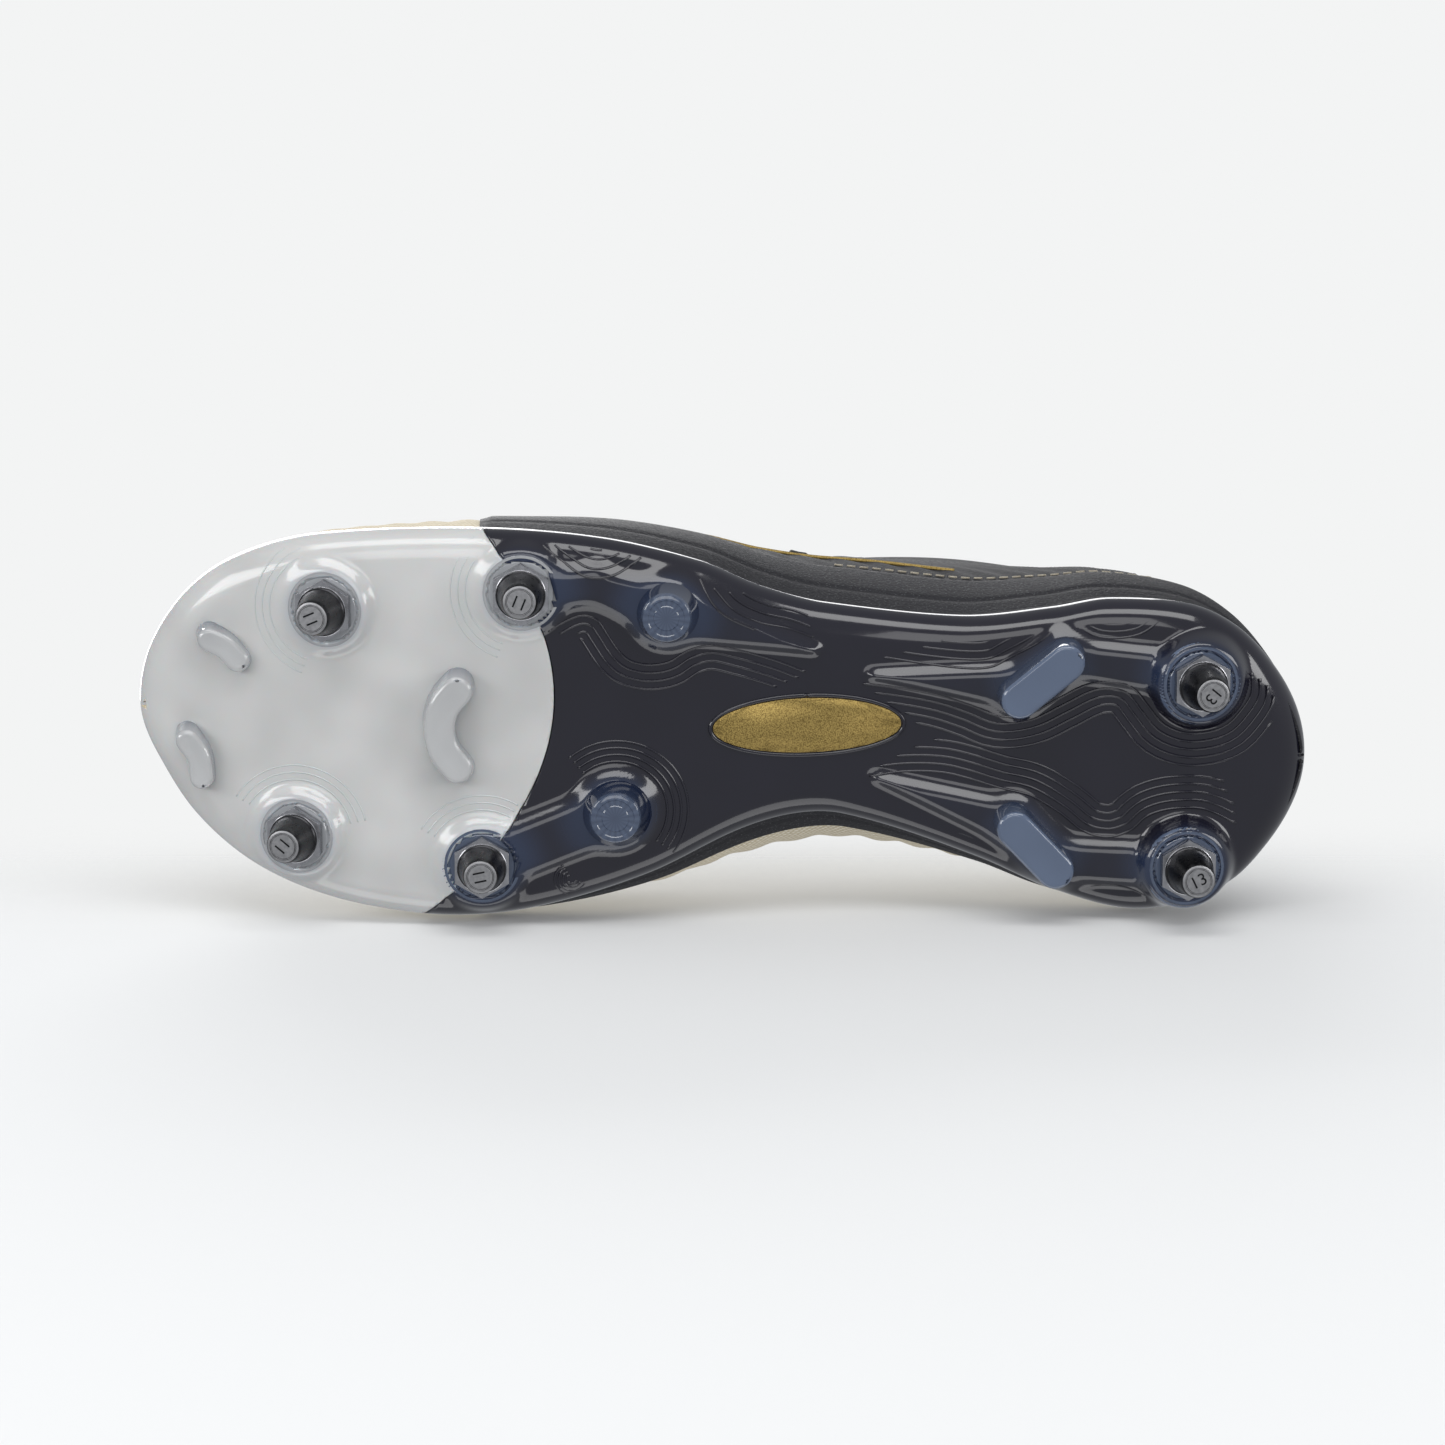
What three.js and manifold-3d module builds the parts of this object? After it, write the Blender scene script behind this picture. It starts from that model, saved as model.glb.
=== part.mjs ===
// A left soccer cleat for soft ground, standing on its studs.
// Millimetres. +Z is up, -Y is the toe, +Y is the heel, +X is the outer (lateral) side of the foot.
import * as THREE from "three";
import { mergeVertices } from "three/addons/utils/BufferGeometryUtils.js";
import Module from "manifold-3d";

const wasm = await Module();
wasm.setup();

// Driving dimensions
const halfLength = 143.5; // of the sole
const plateThickness = 2.2;
const rimRise = 6.5; // how far the plate's edge turns up
const gap = 0.3; // between pieces that touch
const clothThickness = 1.6;
const hexAcrossFlats = 13.2;
const hexHeight = 2.2;
const shankRadius = 3.0;
const shankLength = 5.0;
const coneBaseRadius = 5.9;
const coneTipRadius = 3.85;
const bossRadius = 10.2;
const laceRadius = 1.3;
const vampEnd = 0.385; // along the shoe: 0 at the toe, 1 at the heel
const throatEnd = 0.585;
const heelPanelStart = 0.76;

// x and y of each boss, the height of its face, the stud's lean towards the heel and its height
const studs = [
  { name: "front_lateral", x: 29.4, y: -96.2, seat: 13.2, lean: -13, height: 11 },
  { name: "front_medial", x: -27.1, y: -104.0, seat: 13.6, lean: -13, height: 11 },
  { name: "middle_lateral", x: 33.9, y: -48.6, seat: 11.0, lean: 0, height: 11 },
  { name: "middle_medial", x: -34.0, y: -58.6, seat: 11.0, lean: 0, height: 11 },
  { name: "heel_lateral", x: 10.9, y: 116.1, seat: 13.41, lean: 8, height: 13 },
  { name: "heel_medial", x: -35.2, y: 113.5, seat: 13.41, lean: 8, height: 13 },
];

// Plan of the sole as [y, x], from the toe to the heel
const lateralEdge = [
  [-143.5, 3], [-139, 20], [-127, 35], [-113, 43], [-96, 47], [-59, 48.5], [-29, 46], [-6, 40], [9.5, 33],
  [25, 28.5], [58, 25], [80, 27.5], [94, 30], [114, 28.5], [126, 22.5], [135.5, 12], [143.5, -10.5],
];
const medialEdge = [
  [-143.5, 3], [-139, -11], [-130, -24.5], [-117.5, -35], [-103, -42], [-86, -46.4], [-65, -48.4],
  [-44.5, -46], [-18, -38], [4, -28], [18, -24.5], [30, -25], [63.5, -36], [80, -43], [99, -48],
  [114, -46.4], [126, -41], [134, -33], [143.5, -10.5],
];
// Height of the sole's middle line as [y, z]
const soleHeight = [
  [-143.5, 27], [-130, 22.5], [-115, 18], [-100, 15.5], [-85, 14], [-60, 13], [-40, 13], [-20, 14], [0, 17],
  [20, 20.5], [40, 22.5], [60, 22], [80, 20], [100, 18.5], [115, 18.5], [130, 20.5], [143.5, 25],
];
// Top line of the upper as [along, half width, y, z]: the ridge, the throat's edge, then the collar
const topLine = [
  [0, 0, -126, 54], [0.12, 0, -119, 58], [0.22, 0, -101, 63.5], [0.3, 0, -80, 68], [0.385, 0, -52, 75],
  [0.43, 10, -34, 81], [0.5, 15, -4, 91], [0.585, 21, 36, 103], [0.65, 27, 62, 92], [0.73, 29, 88, 82],
  [0.82, 25, 112, 84], [0.91, 16, 128, 93], [1, 0, 135, 100],
];
// How far the upper's wall swells past the sole as [along, mm], on each side
const lateralSwell = [[0, 2], [0.2, 4], [0.4, 6], [0.55, 14], [0.7, 12], [0.85, 5], [1, 3]];
const medialSwell = [[0, 2], [0.2, 4], [0.35, 8], [0.5, 33], [0.58, 33], [0.7, 12], [0.85, 4], [1, 3]];

const plastic = (color, roughness) => new THREE.MeshStandardMaterial({ color, roughness, metalness: 0 });
const metal = (color, roughness) => new THREE.MeshStandardMaterial({ color, roughness, metalness: 1 });
const milky = plastic(0xd8dade, 0.2);
const navy = plastic(0x22232c, 0.12);
const clear = plastic(0x9db4cc, 0.1);
const cream = plastic(0xe8dfc8, 0.85);
const charcoal = plastic(0x303136, 0.65);
const darkCloth = plastic(0x2c2d31, 0.8);
const foam = plastic(0x55565a, 0.9);
const board = plastic(0xcfc6b2, 0.9);
const laceCloth = plastic(0x1f1f22, 0.9);
const gold = metal(0xb89a4a, 0.35);
const gunmetal = metal(0x55565a, 0.3);
const steel = metal(0xb5b6ba, 0.2);

const cleat = new THREE.Group();

// A smooth curve through [place, value] pairs.
function through(pairs) {
  const slope = (i) => {
    const a = pairs[Math.max(i - 1, 0)];
    const b = pairs[Math.min(i + 1, pairs.length - 1)];
    return (b[1] - a[1]) / (b[0] - a[0]);
  };
  return (place) => {
    let i = pairs.findIndex(([p]) => p > place) - 1;
    if (i < 0) i = place <= pairs[0][0] ? 0 : pairs.length - 2;
    const [p0, v0] = pairs[i];
    const [p1, v1] = pairs[i + 1];
    const width = p1 - p0;
    const k = (place - p0) / width;
    const m0 = slope(i) * width;
    const m1 = slope(i + 1) * width;
    return (
      v0 + k * (m0 + k * (3 * (v1 - v0) - 2 * m0 - m1 + k * (2 * (v0 - v1) + m0 + m1)))
    );
  };
}

const yAt = (along) => -halfLength * Math.cos(Math.PI * along);
const alongAt = (y) => Math.acos(THREE.MathUtils.clamp(-y / halfLength, -1, 1)) / Math.PI;
const lateralX = through(lateralEdge.map(([y, x]) => [alongAt(y), x]));
const medialX = through(medialEdge.map(([y, x]) => [alongAt(y), x]));
const middleZ = through(soleHeight);
const throughWidth = through(topLine.map(([a, w]) => [a, w]));
const topHalfWidth = (along) => (along <= vampEnd ? 0 : Math.max(throughWidth(along), 0));
const topY = through(topLine.map(([a, , y]) => [a, y]));
const topZ = through(topLine.map(([a, , , z]) => [a, z]));
const swells = { 1: through(lateralSwell), [-1]: through(medialSwell) };

// Underside of the plate at x, y.
function undersideZ(x, y) {
  const along = alongAt(y);
  const middle = (lateralX(along) + medialX(along)) / 2;
  const half = Math.max((lateralX(along) - medialX(along)) / 2, 4);
  const across = Math.min(Math.abs(x - middle) / half, 1);
  return middleZ(y) + rimRise * across ** 4;
}

// Makes a closed geometry from triangles given as points, facing out.
function closed(points) {
  const flat = new THREE.BufferGeometry().setFromPoints(points);
  const merged = mergeVertices(flat, 1e-3);
  const index = Array.from(merged.index.array);
  const kept = [];
  for (let i = 0; i < index.length; i += 3) {
    const [a, b, c] = index.slice(i, i + 3);
    if (a !== b && b !== c && c !== a) kept.push(a, b, c);
  }
  merged.setIndex(kept);
  return facingOut(merged);
}

// Turns a closed geometry's faces round if they point in.
function facingOut(geometry) {
  const places = geometry.getAttribute("position");
  const index = geometry.index.array;
  const corner = (i) => new THREE.Vector3().fromBufferAttribute(places, index[i]);
  let volume = 0;
  for (let i = 0; i < index.length; i += 3) volume += corner(i).dot(corner(i + 1).cross(corner(i + 2)));
  if (volume < 0) {
    for (let i = 0; i < index.length; i += 3) [index[i + 1], index[i + 2]] = [index[i + 2], index[i + 1]];
  }
  return geometry;
}

// A three.js geometry with only its places, its shared corners merged and its faces out.
function tidy(geometry) {
  const bare = geometry.index ? geometry.toNonIndexed() : geometry.clone();
  const places = bare.getAttribute("position");
  const points = [];
  for (let i = 0; i < places.count; i++) points.push(new THREE.Vector3().fromBufferAttribute(places, i));
  return closed(points);
}

function solidOf(geometry) {
  const { array } = geometry.getAttribute("position");
  const triVerts = new Uint32Array(geometry.index.array);
  const vertProperties = new Float32Array(array);
  return new wasm.Manifold(new wasm.Mesh({ numProp: 3, vertProperties, triVerts }));
}

function geometryOf(solid) {
  const { vertProperties, triVerts } = solid.getMesh();
  const geometry = new THREE.BufferGeometry();
  geometry.setAttribute("position", new THREE.BufferAttribute(vertProperties, 3));
  geometry.setIndex(new THREE.BufferAttribute(triVerts, 1));
  return geometry;
}

function addPiece(name, geometry, material, parent = cleat) {
  const shaded = geometry.clone();
  shaded.computeVertexNormals();
  const mesh = new THREE.Mesh(shaded, material);
  mesh.name = name;
  parent.add(mesh);
}

// A turned part: [radius, height] pairs round the local Z axis.
function turned(profile, segments) {
  const lathe = new THREE.LatheGeometry(profile.map(([r, z]) => new THREE.Vector2(r, z)), segments);
  return tidy(lathe.rotateX(Math.PI / 2));
}

// A thick sheet: place(i, j, layer) gives its corners on the outer (0) and inner (1) face, and walls
// names the borders that get an edge: "start", "end" across the rows, "low", "high" across the columns.
function sheet(rows, columns, place, walls, flip = false) {
  const points = [];
  const quad = (a, b, c, d) => points.push(...(flip ? [a, c, b, a, d, c] : [a, b, c, a, c, d]));
  for (let i = 0; i < rows; i++) {
    for (let j = 0; j < columns; j++) {
      const corners = (layer) => [
        place(i, j, layer), place(i + 1, j, layer), place(i + 1, j + 1, layer), place(i, j + 1, layer),
      ];
      quad(...corners(0));
      const [a, b, c, d] = corners(1);
      quad(a, d, c, b);
    }
  }
  for (let j = 0; j < columns; j++) {
    if (walls.includes("start")) {
      quad(place(0, j, 1), place(0, j, 0), place(0, j + 1, 0), place(0, j + 1, 1));
    }
    if (walls.includes("end")) {
      quad(place(rows, j, 0), place(rows, j, 1), place(rows, j + 1, 1), place(rows, j + 1, 0));
    }
  }
  for (let i = 0; i < rows; i++) {
    if (walls.includes("low")) {
      quad(place(i, 0, 0), place(i, 0, 1), place(i + 1, 0, 1), place(i + 1, 0, 0));
    }
    if (walls.includes("high")) {
      quad(place(i, columns, 1), place(i, columns, 0), place(i + 1, columns, 0), place(i + 1, columns, 1));
    }
  }
  return points;
}

// ---- Sole ----

// A sheet that follows the sole's plan, kept inside its edge, between two heights over the underside.
function soleSheet(start, end, rows, columns, inset, low, high) {
  const place = (i, j, layer) => {
    const along = THREE.MathUtils.lerp(start, end, i / rows);
    const y = yAt(along);
    const from = medialX(along) + inset;
    const to = lateralX(along) - inset;
    const x = THREE.MathUtils.lerp(from, to, (1 - Math.cos((Math.PI * j) / columns)) / 2);
    return new THREE.Vector3(x, y, undersideZ(x, y) + (layer ? high : low));
  };
  return closed(sheet(rows, columns, place, ["start", "end", "low", "high"]));
}

// Where a stud's parts go: the origin on the boss face and +Z out of the sole.
function studPlace({ x, y, seat, lean }) {
  const group = new THREE.Group();
  group.position.set(x, y, seat);
  group.rotation.x = Math.PI + THREE.MathUtils.degToRad(lean);
  group.updateMatrixWorld(true);
  return group;
}

const insertOuter = 4.7;
const insertFlange = 6.2;
const insertDepth = 5.6;
const flangeThickness = 1.4;

function boss(stud) {
  const profile = [[0, -insertDepth], [bossRadius + 0.6, -insertDepth], [bossRadius - 0.8, 0], [0, 0]];
  return solidOf(turned(profile, 20).applyMatrix4(studPlace(stud).matrixWorld));
}

function bossPocket(stud) {
  const step = flangeThickness - insertDepth;
  const profile = [
    [0, 2], [insertOuter + gap, 2], [insertOuter + gap, step + gap], [insertFlange + gap, step + gap],
    [insertFlange + gap, -12], [0, -12],
  ];
  return solidOf(turned(profile, 16).applyMatrix4(studPlace(stud).matrixWorld));
}

// Plan outline of a rounded bar that follows a curve through [x, y] points.
function roundedBar(points, radius) {
  const path = new THREE.CatmullRomCurve3(points.map(([x, y]) => new THREE.Vector3(x, y, 0)));
  const steps = points.length > 2 ? 5 : 1;
  const caps = 5;
  const outline = [];
  for (const side of [1, -1]) {
    for (let i = 0; i <= steps; i++) {
      const k = side > 0 ? i / steps : 1 - i / steps;
      const tangent = path.getTangent(k);
      const at = path.getPoint(k);
      outline.push(new THREE.Vector2(at.x + side * radius * tangent.y, at.y - side * radius * tangent.x));
    }
    const end = path.getPoint(side > 0 ? 1 : 0);
    const tip = path.getTangent(side > 0 ? 1 : 0).multiplyScalar(side);
    const first = Math.atan2(tip.y, tip.x) - Math.PI / 2;
    for (let i = 1; i < caps; i++) {
      const angle = first + (Math.PI * i) / caps;
      outline.push(new THREE.Vector2(end.x + radius * Math.cos(angle), end.y + radius * Math.sin(angle)));
    }
  }
  return new THREE.Shape(outline);
}

// A moulded cleat: a bar that runs from inside the plate down to its tip.
function barCleat(cut, slack) {
  const { points, radius, tip } = cut;
  const root = rootZ(cut);
  const bevel = 1.4;
  const options = slack
    ? { depth: root - tip + 4, bevelEnabled: false }
    : {
        depth: root - tip - 2 * bevel, bevelEnabled: true, bevelSize: bevel, bevelOffset: -bevel,
        bevelThickness: bevel, bevelSegments: 1,
      };
  const bar = new THREE.ExtrudeGeometry(roundedBar(points, radius + slack), options);
  return tidy(bar.translate(0, 0, slack ? tip - 2 : tip + bevel));
}

function coneCleat(cut, slack) {
  const { points, radius, tipRadius, tip } = cut;
  const root = rootZ(cut);
  const wide = radius + slack;
  const profile = slack
    ? [[0, tip - 2], [wide, tip - 2], [wide, root + 4], [0, root + 4]]
    : [[0, tip], [tipRadius - 1, tip], [tipRadius, tip + 1], [wide, root - 2], [wide, root], [0, root]];
  return turned(profile, 20).translate(...points[0], 0);
}

// Bars follow their [x, y] points and cones stand on their middle.
const cleats = {
  toe_cleat_lateral: { points: [[21.4, -124.4], [19.6, -120.8], [16.4, -117.8]], radius: 2.8, tip: 14.6 },
  toe_cleat_medial: { points: [[-4.2, -130.4], [-8.2, -127.8], [-13.2, -127.2]], radius: 2.8, tip: 16.2 },
  centre_cleat: { points: [[10.1, -64.9], [1.2, -69.4], [-8.4, -64.9]], radius: 3.7, tip: 6.6 },
  cone_cleat_lateral: { points: [[28.6, -13.5]], radius: 8.6, tipRadius: 5.8, tip: 6.4 },
  cone_cleat_medial: { points: [[-20.9, -26]], radius: 9.2, tipRadius: 6, tip: 5.8 },
  blade_cleat_lateral: { points: [[7.3, 72.1], [16.5, 83.2]], radius: 4.5, tip: 10.4 },
  blade_cleat_medial: { points: [[-25, 71.4], [-35.3, 81.2]], radius: 4.5, tip: 10.4 },
};

// Height of a cleat's root, just short of the plate's upper face.
function rootZ({ points }) {
  const lowest = Math.min(...points.map(([x, y]) => undersideZ(x, y)));
  return lowest + plateThickness - gap;
}

const cleatShape = (cut, slack) => (cut.tipRadius ? coneCleat(cut, slack) : barCleat(cut, slack));

// The joint line between the two plates: a parabola that bows towards the heel.
const jointCrown = { x: 8, y: -40.8 };
const jointBow = 0.0105;
const jointY = (x) => jointCrown.y - jointBow * (x - jointCrown.x) ** 2;

// The part of the plan behind the joint line.
function rearOfJoint(shift) {
  const beyond = { x: 60, y: 160, z: 80 };
  const line = [];
  for (let x = -beyond.x; x <= beyond.x; x += 10) line.push(new THREE.Vector2(x, jointY(x) + shift));
  line.push(new THREE.Vector2(beyond.x, beyond.y), new THREE.Vector2(-beyond.x, beyond.y));
  const options = { depth: beyond.z, bevelEnabled: false };
  return solidOf(tidy(new THREE.ExtrudeGeometry(new THREE.Shape(line), options)));
}

function makePlates() {
  let plate = solidOf(soleSheet(0.028, 0.972, 30, 8, 0, 0, plateThickness));
  for (const stud of studs) plate = plate.add(boss(stud));
  for (const stud of studs) plate = plate.subtract(bossPocket(stud));
  for (const cut of Object.values(cleats)) plate = plate.subtract(solidOf(cleatShape(cut, gap)));
  addPiece("forefoot_plate", geometryOf(plate.subtract(rearOfJoint(-gap / 2))), milky);
  addPiece("rear_plate", geometryOf(plate.intersect(rearOfJoint(gap / 2))), navy);
}

function makeCleats() {
  for (const [name, cut] of Object.entries(cleats)) addPiece(name, cleatShape(cut, 0), clear);
}

// The oval plaque under the arch.
const badge = { x: -0.9, y: 20.7, halfLength: 23, halfWidth: 6.4, endWidth: 0.4, thickness: 0.5, rows: 12 };

function makeBadge() {
  const place = (i, j, layer) => {
    const angle = (Math.PI * i) / badge.rows;
    const y = badge.y - badge.halfLength * Math.cos(angle);
    const x = badge.x + (badge.halfWidth * Math.sin(angle) + badge.endWidth) * (j - 1);
    return new THREE.Vector3(x, y, undersideZ(x, y) - (layer ? gap : gap + badge.thickness));
  };
  addPiece("sole_badge", closed(sheet(badge.rows, 2, place, ["start", "end", "low", "high"])), gold);
}

// ---- Screw-in studs ----

function makeStud(stud) {
  const place = studPlace(stud);
  const top = gap + hexHeight;
  const spigot = 2.2;
  const spigotTop = stud.height - 4;
  const recess = coneBaseRadius + gap;
  const recessFloor = top - 0.8;
  const hexRadius = hexAcrossFlats / Math.sqrt(3);

  const hex = new THREE.CylinderGeometry(hexRadius - 0.5, hexRadius, hexHeight, 6).rotateX(Math.PI / 2);
  const core = turned(
    [[0, -shankLength], [shankRadius - 0.5, -shankLength], [shankRadius, 0.5 - shankLength],
      [shankRadius, gap + 0.4], [spigot, gap + 0.4], [spigot, spigotTop], [0, spigotTop]],
    14,
  );
  const hollow = turned([[0, top + 2], [recess, top + 2], [recess, recessFloor], [0, recessFloor]], 16);
  const base = solidOf(tidy(hex.translate(0, 0, gap + hexHeight / 2)))
    .subtract(solidOf(hollow))
    .add(solidOf(core));
  addPiece(`${stud.name}_stud_base`, geometryOf(base), steel, place);

  const foot = recessFloor + gap;
  const bore = spigot + gap;
  const cone = turned(
    [[bore, foot], [coneBaseRadius, foot], [coneBaseRadius, foot + 1.2],
      [coneTipRadius + 0.35, stud.height - 0.5], [coneTipRadius, stud.height], [0, stud.height],
      [0, spigotTop + gap], [bore, spigotTop + gap], [bore, foot]],
    18,
  );
  addPiece(`${stud.name}_stud_cone`, cone, gunmetal, place);

  const step = flangeThickness - insertDepth;
  const bored = shankRadius + gap;
  const insert = turned(
    [[bored, -gap], [insertOuter, -gap], [insertOuter, step], [insertFlange, step],
      [insertFlange, -insertDepth], [bored, -insertDepth], [bored, -gap]],
    14,
  );
  addPiece(`${stud.name}_stud_insert`, insert, steel, place);
  cleat.add(place);
}

// ---- Inside the shoe ----

const insideStart = 0.165;
const insideEnd = 0.88;
const padLow = plateThickness + 1;
const padHigh = padLow + 2.2;
const boardHigh = padHigh + gap + 1.2;
const sockHigh = boardHigh + gap + 3;

function makeInside() {
  const layer = (inset, low, high) => soleSheet(insideStart, insideEnd, 16, 4, inset, low, high);
  let pad = solidOf(layer(6, padLow, padHigh));
  for (const stud of studs) {
    const hole = turned([[0, 2], [bossRadius + 1, 2], [bossRadius + 1, -14], [0, -14]], 12);
    pad = pad.subtract(solidOf(hole.applyMatrix4(studPlace(stud).matrixWorld)));
  }
  addPiece("midsole_pad", geometryOf(pad), foam);
  addPiece("lasting_board", layer(6, padHigh + gap, boardHigh), board);
  addPiece("sockliner", layer(8, boardHigh + gap, sockHigh), darkCloth);
}

// ---- Upper ----

// Middle of the foot beside a place on the upper.
function spine(along) {
  const y = THREE.MathUtils.lerp(-108, 104, THREE.MathUtils.smoothstep(along, 0.05, 0.95));
  const middle = (lateralX(alongAt(y)) + medialX(alongAt(y))) / 2;
  return new THREE.Vector3(middle, y, THREE.MathUtils.lerp(40, 52, along));
}

// A place on the upper: side 1 is lateral, -1 medial; up runs from the sole (0) to the top line (1).
function upperSkin(side, along, up) {
  const inset = 3.4;
  const edge = side > 0 ? lateralX(along) : medialX(along);
  const middle = (lateralX(along) + medialX(along)) / 2;
  const half = Math.abs(edge - middle);
  const shrink = 1 - inset / halfLength;
  const footX = middle + (edge - middle) * Math.max(1 - inset / Math.max(half, inset), 0.1);
  const footY = yAt(along) * shrink;
  const foot = new THREE.Vector3(footX, footY, undersideZ(footX, footY) + plateThickness + 0.8);
  const top = new THREE.Vector3(spine(along).x + side * topHalfWidth(along), topY(along), topZ(along));
  const height = top.z - foot.z;
  const outward = new THREE.Vector3(edge - middle, (yAt(along) - spine(along).y) * 0.9, 0).normalize();
  const across = new THREE.Vector3(foot.x - top.x, foot.y - top.y, 0);
  const reach = across.length();
  across.normalize();
  const step = 0.01;
  const run = Math.max(topY(along + step) - topY(along - step), 0.5);
  const slope = (topZ(along + step) - topZ(along - step)) / run;
  across.z = THREE.MathUtils.clamp(across.y * slope, -0.5, 0.5);
  const wall = THREE.MathUtils.smoothstep(along, vampEnd - 0.02, throatEnd + 0.05);
  const low = foot.clone().addScaledVector(outward, swells[side](along));
  low.z += height * 0.5;
  const high = top.clone().addScaledVector(across, reach * THREE.MathUtils.lerp(0.62, 0.2, wall));
  high.z -= height * 0.28 * wall;
  return new THREE.CubicBezierCurve3(foot, low, high, top).getPoint(up);
}

// Direction off the upper's outer face.
function upperNormal(side, along, up) {
  const { clamp } = THREE.MathUtils;
  const step = 0.006;
  const skinAt = (a, u) => upperSkin(side, clamp(a, 0, 1), clamp(u, 0, 1));
  const lengthwise = skinAt(along + step, up).sub(skinAt(along - step, up));
  const upwards = skinAt(along, up + step).sub(skinAt(along, up - step));
  return lengthwise.cross(upwards).multiplyScalar(side);
}

// The same place moved off the upper's face. On the toe's, heel's and ridge's middle line both sides agree.
function upperPlace(side, along, up, offset) {
  const away = upperNormal(side, along, up).normalize();
  const onMiddle = along === 0 || along === 1 || (up === 1 && along <= vampEnd);
  if (onMiddle) away.add(upperNormal(-side, along, up).normalize());
  if (away.length() < 0.5) away.subVectors(upperSkin(side, along, up), spine(along));
  return upperSkin(side, along, up).addScaledVector(away.normalize(), offset);
}

const alongStep = 0.03;
const upStep = 0.2;

// Places from one end to the other at whole steps, so that layers over each other share their corners.
function stations(from, to, step) {
  const between = [];
  for (let k = Math.floor(from / step) + 1; k * step < to - step / 6; k++) {
    if (k * step > from + step / 6) between.push(k * step);
  }
  return [from, ...between, to];
}

// A piece of the upper between two places along the shoe and two heights, on the given sides. A piece on
// both sides is joined at the toe, at the heel or along the ridge, where its borders get no wall.
function upperPiece({ from, to, low, high, inner, outer, sides, joined = [] }) {
  const walls = ["start", "end", "low", "high"].filter((border) => !joined.includes(border));
  const alongs = stations(from, to, alongStep);
  const ups = stations(low, high, upStep);
  const points = [];
  for (const side of sides) {
    const place = (i, j, layer) => upperPlace(side, alongs[i], ups[j], layer ? inner : outer);
    points.push(...sheet(alongs.length - 1, ups.length - 1, place, walls, side < 0));
  }
  return closed(points);
}

const both = [1, -1];
const skin = { inner: 0, outer: clothThickness };
const seam = 0.0016;

const upperPieces = {
  vamp: { from: 0, to: vampEnd, low: 0.05, high: 1, sides: both, joined: ["start", "high"],
    ...skin, material: cream },
  quarter_lateral: { from: vampEnd + seam, to: heelPanelStart, low: 0.05, high: 1,
    sides: [1], ...skin, material: darkCloth },
  quarter_medial: { from: vampEnd + seam, to: heelPanelStart, low: 0.05, high: 1,
    sides: [-1], ...skin, material: cream },
  heel_panel: { from: heelPanelStart + seam, to: 1, low: 0.05, high: 1, sides: both,
    joined: ["end"], ...skin, material: darkCloth },
  rand_lateral: { from: 0.3, to: 0.985, low: 0.06, high: 0.24, sides: [1],
    inner: clothThickness + 0.5, outer: clothThickness + 1.2, material: charcoal },
  rand_medial: { from: 0.36, to: 0.985, low: 0.06, high: 0.16, sides: [-1],
    inner: clothThickness + 0.5, outer: clothThickness + 1.2, material: charcoal },
  toe_puff: { from: 0, to: 0.18, low: 0.2, high: 0.6, sides: both, joined: ["start"],
    inner: -1.5, outer: -0.5, material: board },
  heel_counter: { from: 0.81, to: 1, low: 0.2, high: 0.57, sides: both, joined: ["end"],
    inner: -2, outer: -0.5, material: board },
  collar_padding: { from: 0.6, to: 1, low: 0.6, high: 1, sides: both,
    joined: ["end"], inner: -4.6, outer: -0.5, material: darkCloth },
  eyestay_lateral: { from: 0.42, to: throatEnd, low: 0.8, high: 1,
    sides: [1], inner: clothThickness + 0.5, outer: clothThickness + 1.4, material: charcoal },
  eyestay_medial: { from: 0.42, to: throatEnd, low: 0.8, high: 1,
    sides: [-1], inner: clothThickness + 0.5, outer: clothThickness + 1.4, material: charcoal },
};

function makeUpper() {
  for (const [name, piece] of Object.entries(upperPieces)) addPiece(name, upperPiece(piece), piece.material);
}

// The tongue lies under both edges of the throat and stands up past the collar.
function makeTongue() {
  const alongs = stations(0.36, throatEnd - 0.004, alongStep);
  const ends = [[1, 0.8], [1, 1], [0, 1], [-1, 1], [-1, 0.8]];
  const tipRows = 3;
  const rows = alongs.length - 1 + tipRows;
  const place = (i, j, layer) => {
    const along = alongs[Math.min(i, alongs.length - 1)];
    const beyond = Math.max(i - alongs.length + 1, 0) / tipRows;
    const [side, up] = ends[j];
    const depth = layer ? -4.4 : -1.5;
    const at = side
      ? upperPlace(side, along, up, depth)
      : upperPlace(1, along, 1, depth).add(upperPlace(-1, along, 1, depth)).multiplyScalar(0.5);
    if (!side) at.z += 0.1 * topHalfWidth(along);
    at.y += 9 * beyond;
    at.z += (side ? 5 : 12) * beyond;
    at.x += (spine(along).x - at.x) * 0.25 * beyond;
    return at;
  };
  addPiece("tongue", closed(sheet(rows, ends.length - 1, place, ["start", "end", "low", "high"])), darkCloth);
}

function tube(points, radius, steps, sides) {
  const section = new THREE.Shape();
  section.absarc(0, 0, radius, 0, 2 * Math.PI, false);
  const path = new THREE.CatmullRomCurve3(points, false, "centripetal");
  return tidy(new THREE.ExtrudeGeometry(section, { steps, extrudePath: path, curveSegments: sides / 2 }));
}

// One lace runs across the throat from eyelet to eyelet and ends in a bow.
const laceRows = 6;
const laceStart = vampEnd + 0.03;
const laceEnd = throatEnd - 0.035;
const laceOffset = clothThickness + laceRadius + 2.6;

const lift = (point, rise) => point.add(new THREE.Vector3(0, 0, rise));
const throatMiddle = (along) => upperSkin(1, along, 1).add(upperSkin(-1, along, 1)).multiplyScalar(0.5);

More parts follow.
